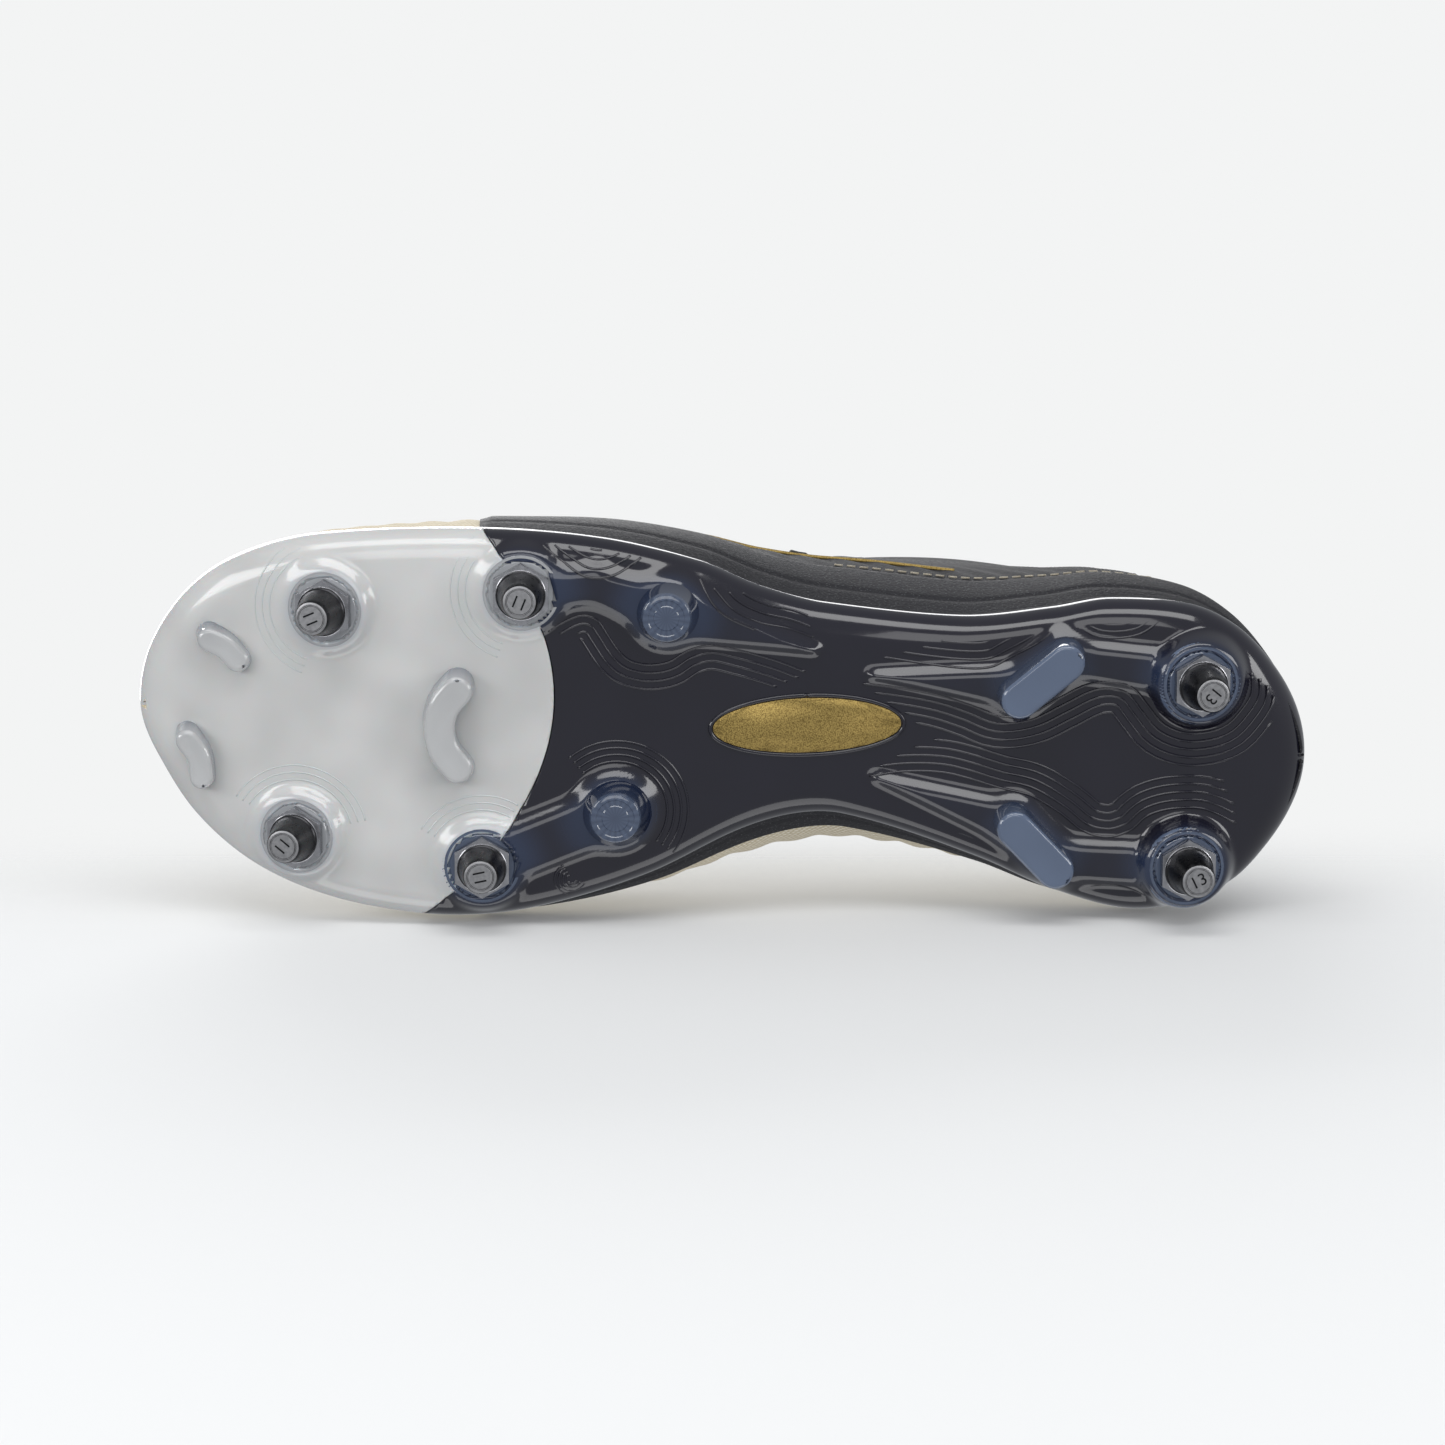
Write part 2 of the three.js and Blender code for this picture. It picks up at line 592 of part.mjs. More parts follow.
function makeLace() {
  const points = [];
  for (let row = 0; row < laceRows; row++) {
    const along = THREE.MathUtils.lerp(laceStart, laceEnd, row / (laceRows - 1));
    const side = row % 2 ? -1 : 1;
    const turn = (s) => upperPlace(s, along, 0.87, laceOffset);
    const edge = (s) => lift(upperPlace(s, along, 1, clothThickness + 1.4), 2.6);
    points.push(turn(side), edge(side), lift(throatMiddle(along), 4.4), edge(-side), turn(-side));
  }
  addPiece("lace", tube(points, laceRadius, 72, 6), laceCloth);
}

function makeBow() {
  const knot = lift(throatMiddle(laceEnd), 10.2);
  const at = (x, y, z) => knot.clone().add(new THREE.Vector3(x, y, z));
  let bow = solidOf(tidy(new THREE.SphereGeometry(1, 10, 6).scale(5, 4, 3.4).translate(...knot.toArray())));
  for (const side of both) {
    const loop = [at(0, -2, 0), at(8 * side, -6, 0.5), at(15.5 * side, -7, 0), at(19 * side, -1, -0.5),
      at(15.5 * side, 6, 0.5), at(8 * side, 5, 2), at(0, 2, 1.4)];
    const tail = [at(0, -1, 0), at(7 * side, -9, 0), at(14 * side, -16, -3), at(20 * side, -25, -8)];
    bow = bow.add(solidOf(tube(loop, laceRadius, 14, 6))).add(solidOf(tube(tail, laceRadius, 8, 6)));
  }
  addPiece("lace_bow", geometryOf(bow), laceCloth);
}

// A folded webbing tab behind the collar.
function makeHeelTab() {
  const width = 13;
  const outline = new THREE.Shape();
  outline.moveTo(-width / 2, 0);
  outline.lineTo(width / 2, 0);
  outline.lineTo(width / 2, 18);
  outline.absarc(width / 2 - 4, 18, 4, 0, Math.PI / 2, false);
  outline.absarc(4 - width / 2, 18, 4, Math.PI / 2, Math.PI, false);
  const tab = new THREE.ExtrudeGeometry(outline, { depth: 2.2, bevelEnabled: false, curveSegments: 4 });
  const behind = upperPlace(1, 1, 0.86, clothThickness + gap);
  tab.rotateX(Math.PI / 2 + 0.16).translate(behind.x, behind.y + 4, behind.z - 5);
  addPiece("heel_tab", tidy(tab), charcoal);
}

makePlates();
makeCleats();
makeBadge();
studs.forEach(makeStud);
makeInside();
makeUpper();
makeTongue();
makeLace();
makeBow();
makeHeelTab();

export default cleat;
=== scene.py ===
# Left soccer cleat for soft ground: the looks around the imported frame.
# Metres, +Z up, the toe at -Y and the outer side at +X. Shape formulas are in millimetres.
import math

import bmesh
import bpy
from mathutils import Matrix, Vector


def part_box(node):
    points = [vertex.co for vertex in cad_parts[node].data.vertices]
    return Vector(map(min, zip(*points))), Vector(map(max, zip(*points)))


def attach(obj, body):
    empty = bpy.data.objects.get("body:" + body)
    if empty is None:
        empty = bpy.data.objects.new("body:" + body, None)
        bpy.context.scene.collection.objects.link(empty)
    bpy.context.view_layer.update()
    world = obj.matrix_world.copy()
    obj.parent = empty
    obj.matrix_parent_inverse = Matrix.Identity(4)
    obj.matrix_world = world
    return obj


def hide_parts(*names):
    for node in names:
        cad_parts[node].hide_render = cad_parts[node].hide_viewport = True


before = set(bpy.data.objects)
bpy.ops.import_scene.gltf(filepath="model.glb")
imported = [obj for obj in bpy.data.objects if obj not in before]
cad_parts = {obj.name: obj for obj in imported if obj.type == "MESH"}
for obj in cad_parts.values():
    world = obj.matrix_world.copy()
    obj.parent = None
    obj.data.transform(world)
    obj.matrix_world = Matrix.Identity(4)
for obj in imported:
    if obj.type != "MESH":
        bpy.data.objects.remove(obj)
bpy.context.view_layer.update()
mm = 0.001


halfLength = 143.5
plateThickness = 2.2
clothThickness = 1.6
vampEnd = 0.385  # along the shoe, 0 at the toe and 1 at the heel
throatEnd = 0.585

lateralEdge = (
    (-143.5, 3), (-139, 20), (-127, 35), (-113, 43), (-96, 47), (-59, 48.5), (-29, 46), (-6, 40), (9.5, 33),
    (25, 28.5), (58, 25), (80, 27.5), (94, 30), (114, 28.5), (126, 22.5), (135.5, 12), (143.5, -10.5),
)
medialEdge = (
    (-143.5, 3), (-139, -11), (-130, -24.5), (-117.5, -35), (-103, -42), (-86, -46.4), (-65, -48.4),
    (-44.5, -46), (-18, -38), (4, -28), (18, -24.5), (30, -25), (63.5, -36), (80, -43), (99, -48),
    (114, -46.4), (126, -41), (134, -33), (143.5, -10.5),
)
soleHeight = (
    (-143.5, 27), (-130, 22.5), (-115, 18), (-100, 15.5), (-85, 14), (-60, 13), (-40, 13), (-20, 14), (0, 17),
    (20, 20.5), (40, 22.5), (60, 22), (80, 20), (100, 18.5), (115, 18.5), (130, 20.5), (143.5, 25),
)
topLine = (
    (0, 0, -126, 54), (0.12, 0, -119, 58), (0.22, 0, -101, 63.5), (0.3, 0, -80, 68), (0.385, 0, -52, 75),
    (0.43, 10, -34, 81), (0.5, 15, -4, 91), (0.585, 21, 36, 103), (0.65, 27, 62, 92), (0.73, 29, 88, 82),
    (0.82, 25, 112, 84), (0.91, 16, 128, 93), (1, 0, 135, 100),
)
lateralSwell = ((0, 2), (0.2, 4), (0.4, 6), (0.55, 14), (0.7, 12), (0.85, 5), (1, 3))
medialSwell = ((0, 2), (0.2, 4), (0.35, 8), (0.5, 33), (0.58, 33), (0.7, 12), (0.85, 4), (1, 3))

# Bosses: x, y, height of the face, lean towards the heel in degrees, height of the stud
studs = {
    "front_lateral": (29.4, -96.2, 13.2, -13, 11),
    "front_medial": (-27.1, -104.0, 13.6, -13, 11),
    "middle_lateral": (33.9, -48.6, 11.0, 0, 11),
    "middle_medial": (-34.0, -58.6, 11.0, 0, 11),
    "heel_lateral": (10.9, 116.1, 13.41, 8, 13),
    "heel_medial": (-35.2, 113.5, 13.41, 8, 13),
}


def clamp(value, low, high):
    return max(low, min(high, value))


def mix(a, b, k):
    return a + (b - a) * k


def smoothStep(value, low, high):
    k = clamp((value - low) / (high - low), 0, 1)
    return k * k * (3 - 2 * k)


def through(pairs):  # a smooth curve through (place, value) pairs
    def slope(i):
        a, b = pairs[max(i - 1, 0)], pairs[min(i + 1, len(pairs) - 1)]
        return (b[1] - a[1]) / (b[0] - a[0])

    def at(place):
        i = 0
        while i < len(pairs) - 2 and pairs[i + 1][0] <= place:
            i += 1
        (p0, v0), (p1, v1) = pairs[i], pairs[i + 1]
        width = p1 - p0
        k = (place - p0) / width
        m0, m1 = slope(i) * width, slope(i + 1) * width
        return v0 + k * (m0 + k * (3 * (v1 - v0) - 2 * m0 - m1 + k * (2 * (v0 - v1) + m0 + m1)))

    return at


def yAt(along):
    return -halfLength * math.cos(math.pi * along)


def alongAt(y):
    return math.acos(clamp(-y / halfLength, -1, 1)) / math.pi


lateralX = through([(alongAt(y), x) for y, x in lateralEdge])
medialX = through([(alongAt(y), x) for y, x in medialEdge])
middleZ = through(soleHeight)
throughWidth = through([(a, w) for a, w, y, z in topLine])
topY = through([(a, y) for a, w, y, z in topLine])
topZ = through([(a, z) for a, w, y, z in topLine])
swells = {1: through(lateralSwell), -1: through(medialSwell)}


def topHalfWidth(along):
    return 0 if along <= vampEnd else max(throughWidth(along), 0)


def undersideZ(x, y):  # the plain sole, as the frame has it
    along = alongAt(y)
    middle = (lateralX(along) + medialX(along)) / 2
    half = max((lateralX(along) - medialX(along)) / 2, 4)
    return middleZ(y) + 6.5 * min(abs(x - middle) / half, 1) ** 4


def shown(name, bm, material, body="root", replaces=(), slot=None, smooth=True):
    mesh = bpy.data.meshes.new(name)
    bm.to_mesh(mesh)
    bm.free()
    piece = bpy.data.objects.new(name, mesh)
    bpy.context.scene.collection.objects.link(piece)
    mesh.materials.append(material)
    for face in mesh.polygons:
        face.use_smooth = smooth
    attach(piece, body)
    if replaces:
        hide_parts(*replaces)
    return piece


def toMetres(bm):
    bmesh.ops.scale(bm, vec=(mm, mm, mm), verts=bm.verts)


def faceOut(bm):
    bmesh.ops.recalc_face_normals(bm, faces=bm.faces)


def meshOfCurve(name, data):  # a curve or text as a bmesh
    drawn = bpy.data.objects.new(name, data)
    bpy.context.scene.collection.objects.link(drawn)
    seen = drawn.evaluated_get(bpy.context.evaluated_depsgraph_get())
    bm = bmesh.new()
    bm.from_mesh(bpy.data.meshes.new_from_object(seen))
    bpy.data.objects.remove(drawn)
    return bm


def joined(first, second):  # adds a second bmesh to the first
    mesh = bpy.data.meshes.new("joined")
    second.to_mesh(mesh)
    second.free()
    first.from_mesh(mesh)
    bpy.data.meshes.remove(mesh)


def addModifier(piece, kind, **settings):
    modifier = piece.modifiers.new(kind.title(), kind)
    for key, value in settings.items():
        setattr(modifier, key, value)
    return modifier


def hue(red, green, blue):  # screen colour, 0 to 255, as a linear colour
    def linear(v):
        v /= 255
        return v / 12.92 if v <= 0.04045 else ((v + 0.055) / 1.055) ** 2.4

    return (linear(red), linear(green), linear(blue), 1)


class Finish:  # a Principled material and a short way to add nodes to it
    def __init__(self, name, color, roughness, **sockets):
        self.material = bpy.data.materials.new(name)
        self.material.use_nodes = True
        self.tree = self.material.node_tree
        self.shader = self.tree.nodes["Principled BSDF"]
        self.shader.inputs["Base Color"].default_value = color
        self.shader.inputs["Roughness"].default_value = roughness
        for key, value in sockets.items():
            self.shader.inputs[key.replace("_", " ")].default_value = value

    def node(self, kind, **values):
        made = self.tree.nodes.new(kind)
        for key, value in values.items():
            if hasattr(made, key):
                setattr(made, key, value)
            else:
                made.inputs[key.replace("_", " ")].default_value = value
        return made

    def link(self, source, target):
        self.tree.links.new(source, target)

    def coordinates(self, kind="Object", scale=(1, 1, 1), turn=(0, 0, 0)):
        place = self.node("ShaderNodeTexCoord")
        mapping = self.node("ShaderNodeMapping")
        mapping.inputs["Scale"].default_value = scale
        mapping.inputs["Rotation"].default_value = turn
        self.link(place.outputs[kind], mapping.inputs["Vector"])
        return mapping.outputs["Vector"]

    def ramp(self, source, *stops):  # stops are (place, colour)
        made = self.node("ShaderNodeValToRGB")
        elements = made.color_ramp.elements
        while len(elements) < len(stops):
            elements.new(0.5)
        for element, (place, color) in zip(elements, stops):
            element.position = place
            element.color = color
        self.link(source, made.inputs["Fac"])
        return made.outputs["Color"]

    def bump(self, height, strength, distance):
        made = self.node("ShaderNodeBump")
        made.inputs["Strength"].default_value = strength
        made.inputs["Distance"].default_value = distance
        self.link(height, made.inputs["Height"])
        self.link(made.outputs["Normal"], self.shader.inputs["Normal"])

    def color(self, source):
        self.link(source, self.shader.inputs["Base Color"])

    def roughness(self, source, low, high):
        made = self.node("ShaderNodeMapRange")
        made.inputs["To Min"].default_value = low
        made.inputs["To Max"].default_value = high
        self.link(source, made.inputs["Value"])
        self.link(made.outputs["Result"], self.shader.inputs["Roughness"])


def noiseOf(finish, scale, detail=2.0, coordinates=None):
    made = finish.node("ShaderNodeTexNoise")
    made.inputs["Scale"].default_value = scale
    made.inputs["Detail"].default_value = detail
    finish.link(coordinates or finish.coordinates(), made.inputs["Vector"])
    return made.outputs["Fac"]


def mixColors(finish, factor, first, second):
    made = finish.node("ShaderNodeMix", data_type="RGBA")
    finish.link(factor, made.inputs["Factor"])
    for value, socket in ((first, made.inputs[6]), (second, made.inputs[7])):
        if isinstance(value, tuple):
            socket.default_value = value
        else:
            finish.link(value, socket)
    return made.outputs[2]


def plateFinish(name, color, deepAndShadeColor, roughness, **sockets):
    finish = Finish(name, color, roughness, **sockets)
    tintAndShade = finish.node("ShaderNodeAttribute", attribute_name="tintAndShade")
    dimmed = tuple(c * 0.86 for c in color[:3]) + (1,)
    cloudy = finish.ramp(noiseOf(finish, 60, 1), (0.3, color), (0.75, dimmed))
    # the deep colour is the plastic's tint where it is thick, and painted glassy shade where the cleats' and
    # bosses' walls are marked
    finish.color(mixColors(finish, tintAndShade.outputs["Fac"], cloudy, deepAndShadeColor))
    finish.bump(noiseOf(finish, 220, 2), 0.08, 0.0004)
    finish.roughness(noiseOf(finish, 90, 2), roughness * 0.8, roughness * 1.3)
    return finish.material


def metalFinish(name, color, roughness, grain):
    finish = Finish(name, color, roughness, Metallic=1.0)
    fine = noiseOf(finish, grain, 3)
    finish.color(finish.ramp(fine, (0.35, tuple(c * 0.82 for c in color[:3]) + (1,)), (0.65, color)))
    finish.roughness(fine, roughness * 0.7, roughness * 1.4)
    finish.bump(fine, 0.12, 0.0001)
    return finish.material


def grainMetal(name, color, pit, roughness):  # metallic paint with a visible grain
    finish = Finish(name, color, roughness, Metallic=0.85)
    grain = noiseOf(finish, 3200, 3)
    finish.color(finish.ramp(grain, (0.36, pit), (0.6, color)))
    finish.roughness(grain, roughness * 0.8, roughness * 1.2)
    finish.bump(grain, 0.3, 0.0003)
    return finish.material


def grainFinish(name, color, glintColor, roughness):  # matte moulded skin with a fine glint painted into its colour as pale specks
    finish = Finish(name, color, roughness)
    finish.shader.inputs["Specular IOR Level"].default_value = 0.22
    place = finish.coordinates()
    grain = noiseOf(finish, 1500, 2, place)
    specks = finish.node("ShaderNodeTexVoronoi")
    specks.inputs["Scale"].default_value = 1300
    finish.link(place, specks.inputs["Vector"])
    # painted glints: pale specks mixed into the base colour
    glint = finish.ramp(specks.outputs["Distance"], (0.1, (1, 1, 1, 1)), (0.26, (0, 0, 0, 1)))
    finish.color(mixColors(finish, glint, color, glintColor))
    finish.bump(grain, 0.5, 0.0004)
    finish.roughness(grain, roughness * 0.8, min(roughness * 1.3, 1))
    return finish.material


def weaveFinish(name, color, shade, period, roughness=0.85, angle=0.6, sheen=0.25):
    finish = Finish(name, color, roughness)
    finish.shader.inputs["Sheen Weight"].default_value = sheen
    finish.shader.inputs["Specular IOR Level"].default_value = 0.18
    finish.shader.inputs["Sheen Roughness"].default_value = 0.5
    heights = []
    for turn in (angle, angle + math.pi / 2):
        wave = finish.node("ShaderNodeTexWave", wave_type="BANDS", bands_direction="X")
        wave.inputs["Scale"].default_value = 1 / period / 3.18
        wave.inputs["Distortion"].default_value = 1.2
        wave.inputs["Detail"].default_value = 1
        wave.inputs["Detail Scale"].default_value = 2
        finish.link(finish.coordinates("UV", turn=(0, 0, turn)), wave.inputs["Vector"])
        heights.append(wave.outputs["Fac"])
    crossed = finish.node("ShaderNodeMath", operation="MULTIPLY")
    finish.link(heights[0], crossed.inputs[0])
    finish.link(heights[1], crossed.inputs[1])
    finish.color(finish.ramp(crossed.outputs[0], (0.02, shade), (0.6, color)))
    finish.bump(crossed.outputs[0], 0.6, 0.0004)
    return finish.material


navy = plateFinish("navy_plastic", hue(21, 20, 31), hue(36, 46, 68), 0.13, Coat_Weight=0.45,
                   Coat_Roughness=0.04, IOR=1.5)
milky = plateFinish("milky_plastic", hue(193, 193, 192), hue(168, 172, 178), 0.18, Coat_Weight=0.5,
                    Coat_Roughness=0.05, Subsurface_Weight=0.15)
milky.node_tree.nodes["Principled BSDF"].inputs["Subsurface Scale"].default_value = 0.004
clear = plateFinish("clear_cleat_plastic", hue(98, 112, 137), hue(26, 36, 60), 0.07, Coat_Weight=1.0,
                    Coat_Roughness=0.03, Transmission_Weight=0.3, IOR=1.45)
ice = plateFinish("clear_front_cleat_plastic", hue(206, 207, 208), hue(122, 130, 142), 0.05, Coat_Weight=1.0,
                  Coat_Roughness=0.03, Transmission_Weight=0.35, IOR=1.45)
rand = grainFinish("charcoal_rand", (0.016, 0.016, 0.019, 1), (0.07, 0.07, 0.075, 1), 0.62)
steel = metalFinish("polished_steel", hue(186, 186, 190), 0.2, 700)
gunmetal = metalFinish("gunmetal_alloy", hue(62, 62, 64), 0.28, 900)
tipMetal = metalFinish("satin_stud_face", hue(158, 158, 160), 0.42, 1200)
engraved = metalFinish("engraved_figure", hue(40, 40, 42), 0.5, 900)
gold = grainMetal("gold_foil", hue(166, 143, 84), hue(116, 96, 52), 0.5)
cream = weaveFinish("cream_textile", hue(229, 222, 205), hue(190, 177, 149), 0.0011, sheen=0.1)
dark = weaveFinish("dark_textile", (0.030, 0.030, 0.034, 1), (0.008, 0.008, 0.010, 1), 0.0008, 0.7,
                   sheen=0.06)
lining = weaveFinish("collar_lining", (0.020, 0.020, 0.023, 1), (0.006, 0.006, 0.007, 1), 0.0012, 0.95,
                     sheen=0.06)
laceCloth = weaveFinish("lace_braid", (0.028, 0.028, 0.031, 1), (0.006, 0.006, 0.007, 1), 0.0009, 0.9,
                        sheen=0.08)
boardPaper = weaveFinish("board_paper", hue(205, 196, 178), hue(170, 158, 136), 0.002)
thread = weaveFinish("seam_thread", hue(222, 214, 196), hue(150, 140, 120), 0.0006)
webbing = weaveFinish("tab_webbing", (0.026, 0.026, 0.030, 1), (0.007, 0.007, 0.009, 1), 0.0016, 0.9)
foam = grainFinish("pad_foam", hue(85, 86, 90), hue(120, 121, 125), 0.9)
print("finishes made")


cameraSet = {"target": (0.001, 0, 0.015), "distance": 1.3, "rise": 13, "frameWidth": 0.3514, "sensor": 36}


def lookAt(place, target, up):
    back = (place - target).normalized()
    right = up.cross(back).normalized()
    turned = Matrix((right, back.cross(right), back)).transposed().to_4x4()
    turned.translation = place
    return turned


def makeCamera():
    data = bpy.data.cameras.new("camera")
    data.sensor_width = cameraSet["sensor"]
    data.lens = cameraSet["sensor"] * cameraSet["distance"] / cameraSet["frameWidth"]
    data.clip_start, data.clip_end = 0.05, 20
    camera = bpy.data.objects.new("camera", data)
    bpy.context.scene.collection.objects.link(camera)
    rise = math.radians(cameraSet["rise"])
    target = Vector(cameraSet["target"])
    place = target + Vector((math.sin(rise), 0, -math.cos(rise))) * cameraSet["distance"]
    camera.matrix_world = lookAt(place, target, Vector((1, 0, 0)))
    bpy.context.scene.camera = camera


lights = {
    "side_key": {"place": (0.95, 0.05, -0.42), "size": (1.3, 0.42), "power": 6.5},
    "toe_strip": {"place": (0.35, -0.95, -0.62), "size": (0.35, 0.9), "power": 5},
    "heel_strip": {"place": (0.25, 0.98, -0.55), "size": (0.35, 0.9), "power": 4.5},
    "sole_fill": {"place": (0.5, -0.1, -1.5), "size": (0.9, 0.9), "power": 4.5},
    "low_fill": {"place": (-0.9, 0.0, -0.35), "size": (1.2, 0.5), "power": 2.5},
    "top_soft": {"place": (0.25, -0.25, 1.25), "size": (1.1, 1.1), "power": 17},
}


def makeLights():
    for name, light in lights.items():
        data = bpy.data.lights.new(name, "AREA")
        data.shape = "RECTANGLE"
        data.size, data.size_y = light["size"]
        data.energy = light["power"]
        lamp = bpy.data.objects.new(name, data)
        bpy.context.scene.collection.objects.link(lamp)
        place = Vector(light["place"])
        up = Vector((0, 0, 1)) if abs(place.normalized().z) < 0.95 else Vector((0, 1, 0))
        lamp.matrix_world = lookAt(place, Vector((0, 0, 0.03)), up)
        lamp.visible_camera = False


def makeWorld():
    world = bpy.data.worlds.new("studio")
    bpy.context.scene.world = world
    world.use_nodes = True
    tree = world.node_tree
    tree.nodes.clear()
    paths = tree.nodes.new("ShaderNodeLightPath")
    seen = tree.nodes.new("ShaderNodeBackground")
    seen.inputs["Color"].default_value = hue(243, 244, 244)
    around = tree.nodes.new("ShaderNodeBackground")
    around.inputs["Color"].default_value = (0.93, 0.96, 1.0, 1)
    around.inputs["Strength"].default_value = 0.42
    chosen = tree.nodes.new("ShaderNodeMixShader")
    out = tree.nodes.new("ShaderNodeOutputWorld")
    tree.links.new(paths.outputs["Is Camera Ray"], chosen.inputs["Fac"])
    tree.links.new(around.outputs["Background"], chosen.inputs[1])
    tree.links.new(seen.outputs["Background"], chosen.inputs[2])
    tree.links.new(chosen.outputs["Shader"], out.inputs["Surface"])
    view = bpy.context.scene.view_settings
    view.view_transform = "Standard"
    view.look = "None"


floors = {  # half sizes, where the plane stands, how it is turned and its tone
    "floor_under_studs": {"half": (0.9, 1.1), "place": (0, 0, -0.0002), "turn": 0, "tone": 0.74},
    "floor_beside_shoe": {"half": (0.30, 0.32), "place": (-0.0502, 0, -0.175), "turn": 90, "tone": 0.72},
}


def makeFloor(name):  # pale, seen from its front only, and fades out towards its edges
    f = floors[name]
    bm = bmesh.new()
    bmesh.ops.create_grid(bm, x_segments=60, y_segments=60, size=1)
    fade = [clamp((1 - max(abs(v.co.x), abs(v.co.y))) * 2.6, 0, 1) for v in bm.verts]
    bmesh.ops.scale(bm, vec=(*f["half"], 1), verts=bm.verts)
    turn = Matrix.Rotation(math.radians(f["turn"]), 3, "Y")
    bmesh.ops.rotate(bm, verts=bm.verts, cent=(0, 0, 0), matrix=turn)
    bmesh.ops.translate(bm, verts=bm.verts, vec=f["place"])
    mesh = bpy.data.meshes.new(name)
    bm.to_mesh(mesh)
    bm.free()
    layer = mesh.attributes.new("solid", "FLOAT", "POINT")
    for value, share in zip(layer.data, fade):
        value.value = share * share * (3 - 2 * share)
    floor = bpy.data.objects.new(name, mesh)
    bpy.context.scene.collection.objects.link(floor)
    paint = Finish(name + "_paint", (f["tone"], f["tone"] * 1.005, f["tone"] * 1.005, 1), 0.95)
    side = paint.node("ShaderNodeNewGeometry")
    solid = paint.node("ShaderNodeAttribute", attribute_name="solid")
    front = paint.node("ShaderNodeMath", operation="SUBTRACT")
    paint.link(solid.outputs["Fac"], front.inputs[0])
    paint.link(side.outputs["Backfacing"], front.inputs[1])
    front.use_clamp = True
    paint.link(front.outputs[0], paint.shader.inputs["Alpha"])
    paint.shader.inputs["Specular IOR Level"].default_value = 0
    mesh.materials.append(paint.material)
    for ray in ("diffuse", "glossy", "transmission", "shadow"):
        setattr(floor, "visible_" + ray, False)


makeCamera()
makeLights()
makeWorld()
for floorName in floors:
    makeFloor(floorName)
print("stage set")


# Raised parts of the sole: from (x, y, half width) to (x, y, half width)
ribs = (
    ((33.9, -48.6, 6.0), (35.6, -31, 4.0)),
    ((35.6, -31, 4.0), (28.6, -13.5, 6.5)),
    ((28.0, -10, 6.5), (18, 22, 0.6)),
    ((13.2, 106, 5.0), (15.6, 88, 4.4)),
    ((7.3, 72.1, 6.0), (16.5, 83.2, 6.0)),
    ((8.6, 70, 5.0), (11.2, 37, 0.6)),
    ((-34, -58.6, 6.5), (-20.9, -26, 6.5)),
    ((-35.4, 104, 5.0), (-34.6, 84, 4.8)),
    ((-25, 71.4, 6.0), (-35.3, 81.2, 6.0)),
    ((-25.5, 70, 5.0), (-14.6, 38, 0.6)),
)
domes = ((28.6, -13.5, 8.8), (-20.9, -26, 9.6))
bossRadius = 10.3
ribHeight = 2.4


def softLeast(values, blend):
    least = min(values)
    return least - blend * math.log(sum(math.exp((least - v) / blend) for v in values))


def ribDistance(x, y, rib):
    (x0, y0, w0), (x1, y1, w1) = rib
    dx, dy = x1 - x0, y1 - y0
    k = clamp(((x - x0) * dx + (y - y0) * dy) / (dx * dx + dy * dy), 0, 1)
    return math.hypot(x - x0 - dx * k, y - y0 - dy * k) - mix(w0, w1, k)


def raisedDistances(x, y):  # from each rib and dome, in millimetres
    found = [ribDistance(x, y, rib) for rib in ribs]
    return found + [math.hypot(x - cx, y - cy) - radius for cx, cy, radius in domes]


def reliefDistance(x, y, blend=1.6):  # millimetres from the raised parts, less than 0 on them
    values = raisedDistances(x, y)
    values += [math.hypot(x - place[0], y - place[1]) - bossRadius for place in studs.values()]
    near = [v for v in values if v < min(values) + 8 * blend]
    return softLeast(near, blend)


def ribDepth(x, y):
    values = raisedDistances(x, y)
    least = min(values)
    if least > 6:
        return 0
    near = [v for v in values if v < least + 8]
    return ribHeight * (1 - smoothStep(softLeast(near, 1.0), -2.2, 2.4))


def soleZ(x, y, rise=0.0):  # the finished underside; rise is the rim's turn-up at this place
    z = middleZ(y) + rise - ribDepth(x, y)
    for cx, cy, seat, lean, height in studs.values():
        away = math.hypot(x - cx, y - cy)
        if away < bossRadius + 4:
            face = seat + (y - cy) * math.tan(math.radians(lean))
            k = smoothStep(away, bossRadius - 0.9, bossRadius + 2.6)
            z = mix(min(face, z), z, k)
    return z


def jointY(x):  # where the two plates meet
    return -40.8 - 0.0105 * (x - 8) ** 2


rim = {"roll": 7.5, "rise": 6.5}
spineShare = 0.72  # rows fan out round the toe and the heel from this share of the length


def solePoint(along, across):
    # plan place and turn-up; across runs from -1, the inner edge, to 1, the outer edge
    edgeX = lateralX(along) if across > 0 else medialX(along)
    middle = Vector(((lateralX(along) + medialX(along)) / 2, yAt(along) * spineShare))
    middle.x = (lateralX(alongAt(middle.y)) + medialX(alongAt(middle.y))) / 2
    edge = Vector((edgeX, yAt(along)))
    reach = (edge - middle).length
    roll = min(rim["roll"], reach * 0.5)
    rollShare = 0.3  # of the columns are in the rolled edge
    q = abs(across)
    if q < 1 - rollShare:
        out, rise = q / (1 - rollShare) * (reach - roll), 0.0
    else:
        angle = (q - 1 + rollShare) / rollShare * math.pi / 2
        out, rise = reach - roll + roll * math.sin(angle), rim["rise"] * (1 - math.cos(angle))
    place = middle.lerp(edge, out / reach)
    return place.x, place.y, rise


def makeSoleSurface(rows, columns):
    bm = bmesh.new()
    bmesh.ops.create_grid(bm, x_segments=columns, y_segments=rows, size=0.5)
    for vert in bm.verts:
        x, y, rise = solePoint(clamp(vert.co.y + 0.5, 0, 1), clamp(vert.co.x * 2, -1, 1))
        vert.co = Vector((x, y, soleZ(x, y, rise)))
    bmesh.ops.remove_doubles(bm, verts=bm.verts, dist=0.02)
    return bm


